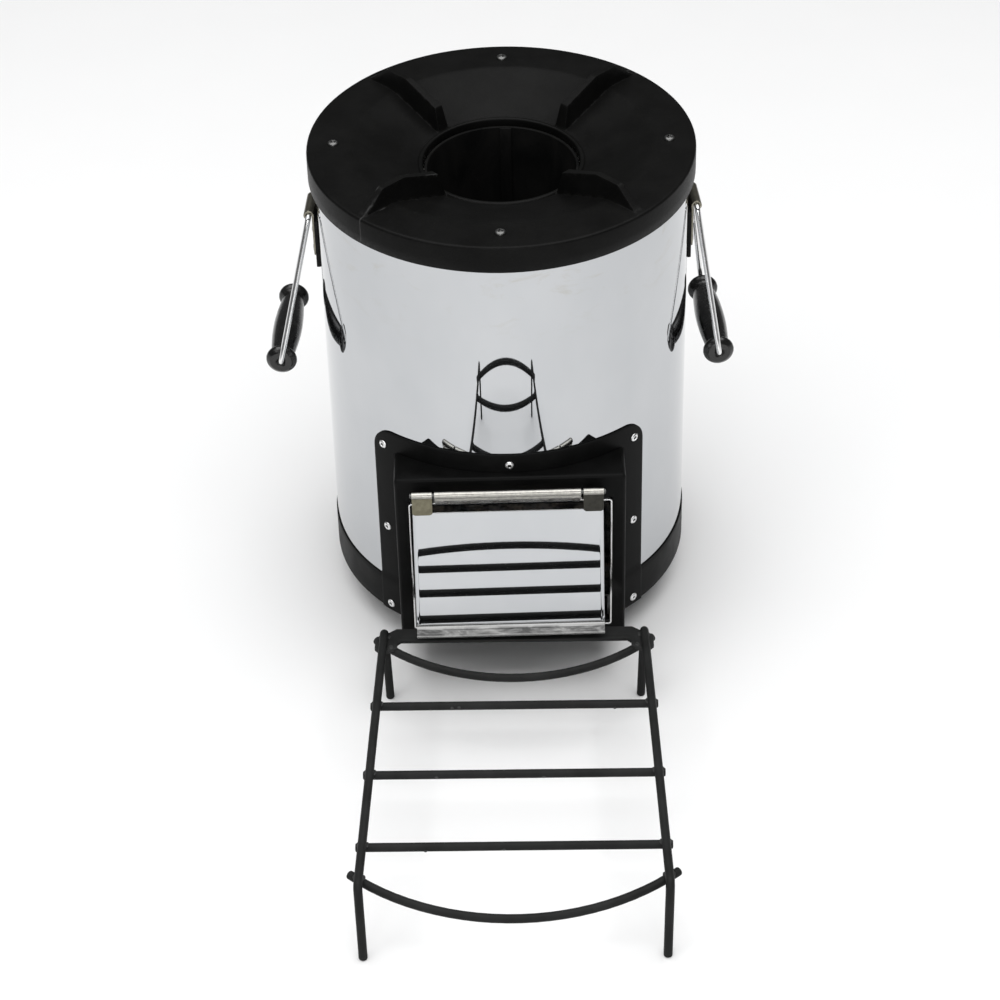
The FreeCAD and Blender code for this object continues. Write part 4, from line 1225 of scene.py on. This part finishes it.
def weld_beads():
    """A fillet of weld in the two corners of every joint, and a few drops of spatter."""
    crossings = [y for y, half in CROSSBARS] + [arc_crossing_y(*NEAR_ARC), arc_crossing_y(*FAR_ARC)]
    meshes = []
    seed = 1
    for y in crossings:
        for sign in (-1, 1):
            for step in (-1, 1):
                seed += 1
                spot = Vector((sign * rail_x(y) + step * 2.9, y, BAR_Z + ROD_R - 0.3))
                meshes.append(blob_mesh(spot, (1.3, 2.3, 1.3), seed))
    rng = random.Random(8)
    for k in range(7):
        y = CROSSBARS[k % 3][0] - ROD_R + 0.2
        spot = Vector((rng.uniform(-70, 70), y, BAR_Z + rng.uniform(-1.5, 1.0)))
        meshes.append(blob_mesh(spot, (1.2, 0.9, 0.8), seed + k))
    mesh = move_mesh(join_meshes(meshes), RACK_PLACE)
    add("rack_weld_beads", mesh, WELD_COAT, "stick_rack", lift=0)


def rack_sill():
    """Flat strip between the near legs, with fillets of weld along the arc and the legs."""
    right = list(SILL_HALF_OUTLINE)
    left = [(-x, y) for x, y in reversed(right)]
    mesh = move_mesh(plate_mesh(right + left, *SILL_Z), RACK_PLACE)
    add("sill_strip", mesh, RACK_COAT, "stick_rack", "rack_sill", bevel=0.5, lift=0)
    meshes = []
    for sign in (-1, 1):
        for k, (x, y) in enumerate(((95.4, -168.6), (89.6, -168.0), (87.5, -179.0))):
            spot = Vector((sign * x, y, SILL_Z[1] - 0.2))
            meshes.append(blob_mesh(spot, (1.6, 2.0, 0.9), 40 + k + 10 * sign))
    mesh = move_mesh(join_meshes(meshes), RACK_PLACE)
    add("sill_weld_beads", mesh, WELD_COAT, "stick_rack", lift=0)


def stick_rack():
    for side, sign in (("left", -1), ("right", 1)):
        path = smooth_path(rail_corners(sign), RAIL_BEND, 10)
        rack_rod(side + "_rail_rod", path, "rack_" + side + "_rail")
    rack_rod("near_arc_rod", arc_path(*NEAR_ARC), "rack_near_arc")
    rack_rod("far_arc_rod", arc_path(*FAR_ARC), "rack_far_arc")
    for number, (y, half) in enumerate(CROSSBARS, 1):
        path = [Vector((-half, y, BAR_Z)), Vector((half, y, BAR_Z))]
        rack_rod("crossbar_rod_" + str(number), path, "rack_crossbar_" + str(number))
    rack_sill()
    weld_beads()


# ---- parts that keep their CAD mesh ----
def dress_cad_nodes():
    finishes = {"lid_tabs": INNER, "lid_nuts": SCREW_METAL, "firebox": INNER, "hearth_plate": IRON,
                "riser_gasket": FIBRE, "upper_insulation": FIBRE, "lower_insulation": FIBRE,
                "base_board": FIBRE, "fuel_grate": INNER, "grate_left_leg": INNER, "grate_right_leg": INNER}
    for node, (material, slot) in finishes.items():
        piece = frame["nodes"][node]
        piece.data.materials.clear()
        piece.data.materials.append(material)


# ---- stage ----
def stage():
    bpy.ops.mesh.primitive_plane_add(size=14)
    floor = bpy.context.object
    floor.name = "studio_floor"
    floor.data.materials.append(floor_material())
    world = bpy.data.worlds.new("studio")
    bpy.context.scene.world = world
    world.use_nodes = True
    background = world.node_tree.nodes["Background"]
    background.inputs["Color"].default_value = (0.97, 0.985, 1.0, 1)
    background.inputs["Strength"].default_value = 0.13


def soft_light(name, spot, aim, size, power, colour=(1, 1, 1)):
    data = bpy.data.lights.new(name, "AREA")
    data.shape = "RECTANGLE"
    data.size, data.size_y = size
    data.energy = power
    data.color = colour
    lamp = bpy.data.objects.new(name, data)
    bpy.context.scene.collection.objects.link(lamp)
    lamp.location = spot
    lamp.rotation_euler = (Vector(aim) - Vector(spot)).to_track_quat("-Z", "Y").to_euler()


def lights():
    soft_light("overhead_box", (0, -0.15, 2.6), (0, -0.10, 0), (3.6, 3.2), 106)
    soft_light("front_low", (0, -2.0, 0.75), (0, -0.15, 0), (1.6, 0.7), 11)
    soft_light("key_left", (-1.7, -1.2, 2.0), (0, -0.1, 0.1), (1.4, 1.0), 6, (1.0, 0.995, 0.985))


def camera():
    """Stands in front of the fuel door and looks down on the stove."""
    distance, elevation, roll_angle, lens = 2.1197, radians(38.263), radians(-1.504), 100.07
    target = Vector((-0.0072, 0.0, 0.0494))
    data = bpy.data.cameras.new("camera")
    data.lens = lens
    data.clip_end = 50
    holder = bpy.data.objects.new("camera", data)
    bpy.context.scene.collection.objects.link(holder)
    spot = target + Vector((0, -cos(elevation), sin(elevation))) * distance
    tilt = rotate(pi / 2 - elevation, "X") @ rotate(roll_angle, "Z")
    holder.matrix_world = shift(spot) @ tilt
    bpy.context.scene.camera = holder


# ---- build ----
camera()
stage()
lights()
bpy.context.scene.view_settings.view_transform = "Standard"

top_plate()
lid_screws()
outer_shell()
shell_seam()
base_pan()
base_foot()
riser_tube()
door_frame()
frame_rivets()
fuel_sleeve()
hinge_leaf()
hinge_pin()
fuel_door()
door_tab("left", -1)
door_tab("right", 1)
for hand in ("left", "right"):
    handle_bracket(hand)
    handle_pad(hand)
    handle_bail(hand)
    handle_grip(hand)
stick_rack()
dress_cad_nodes()
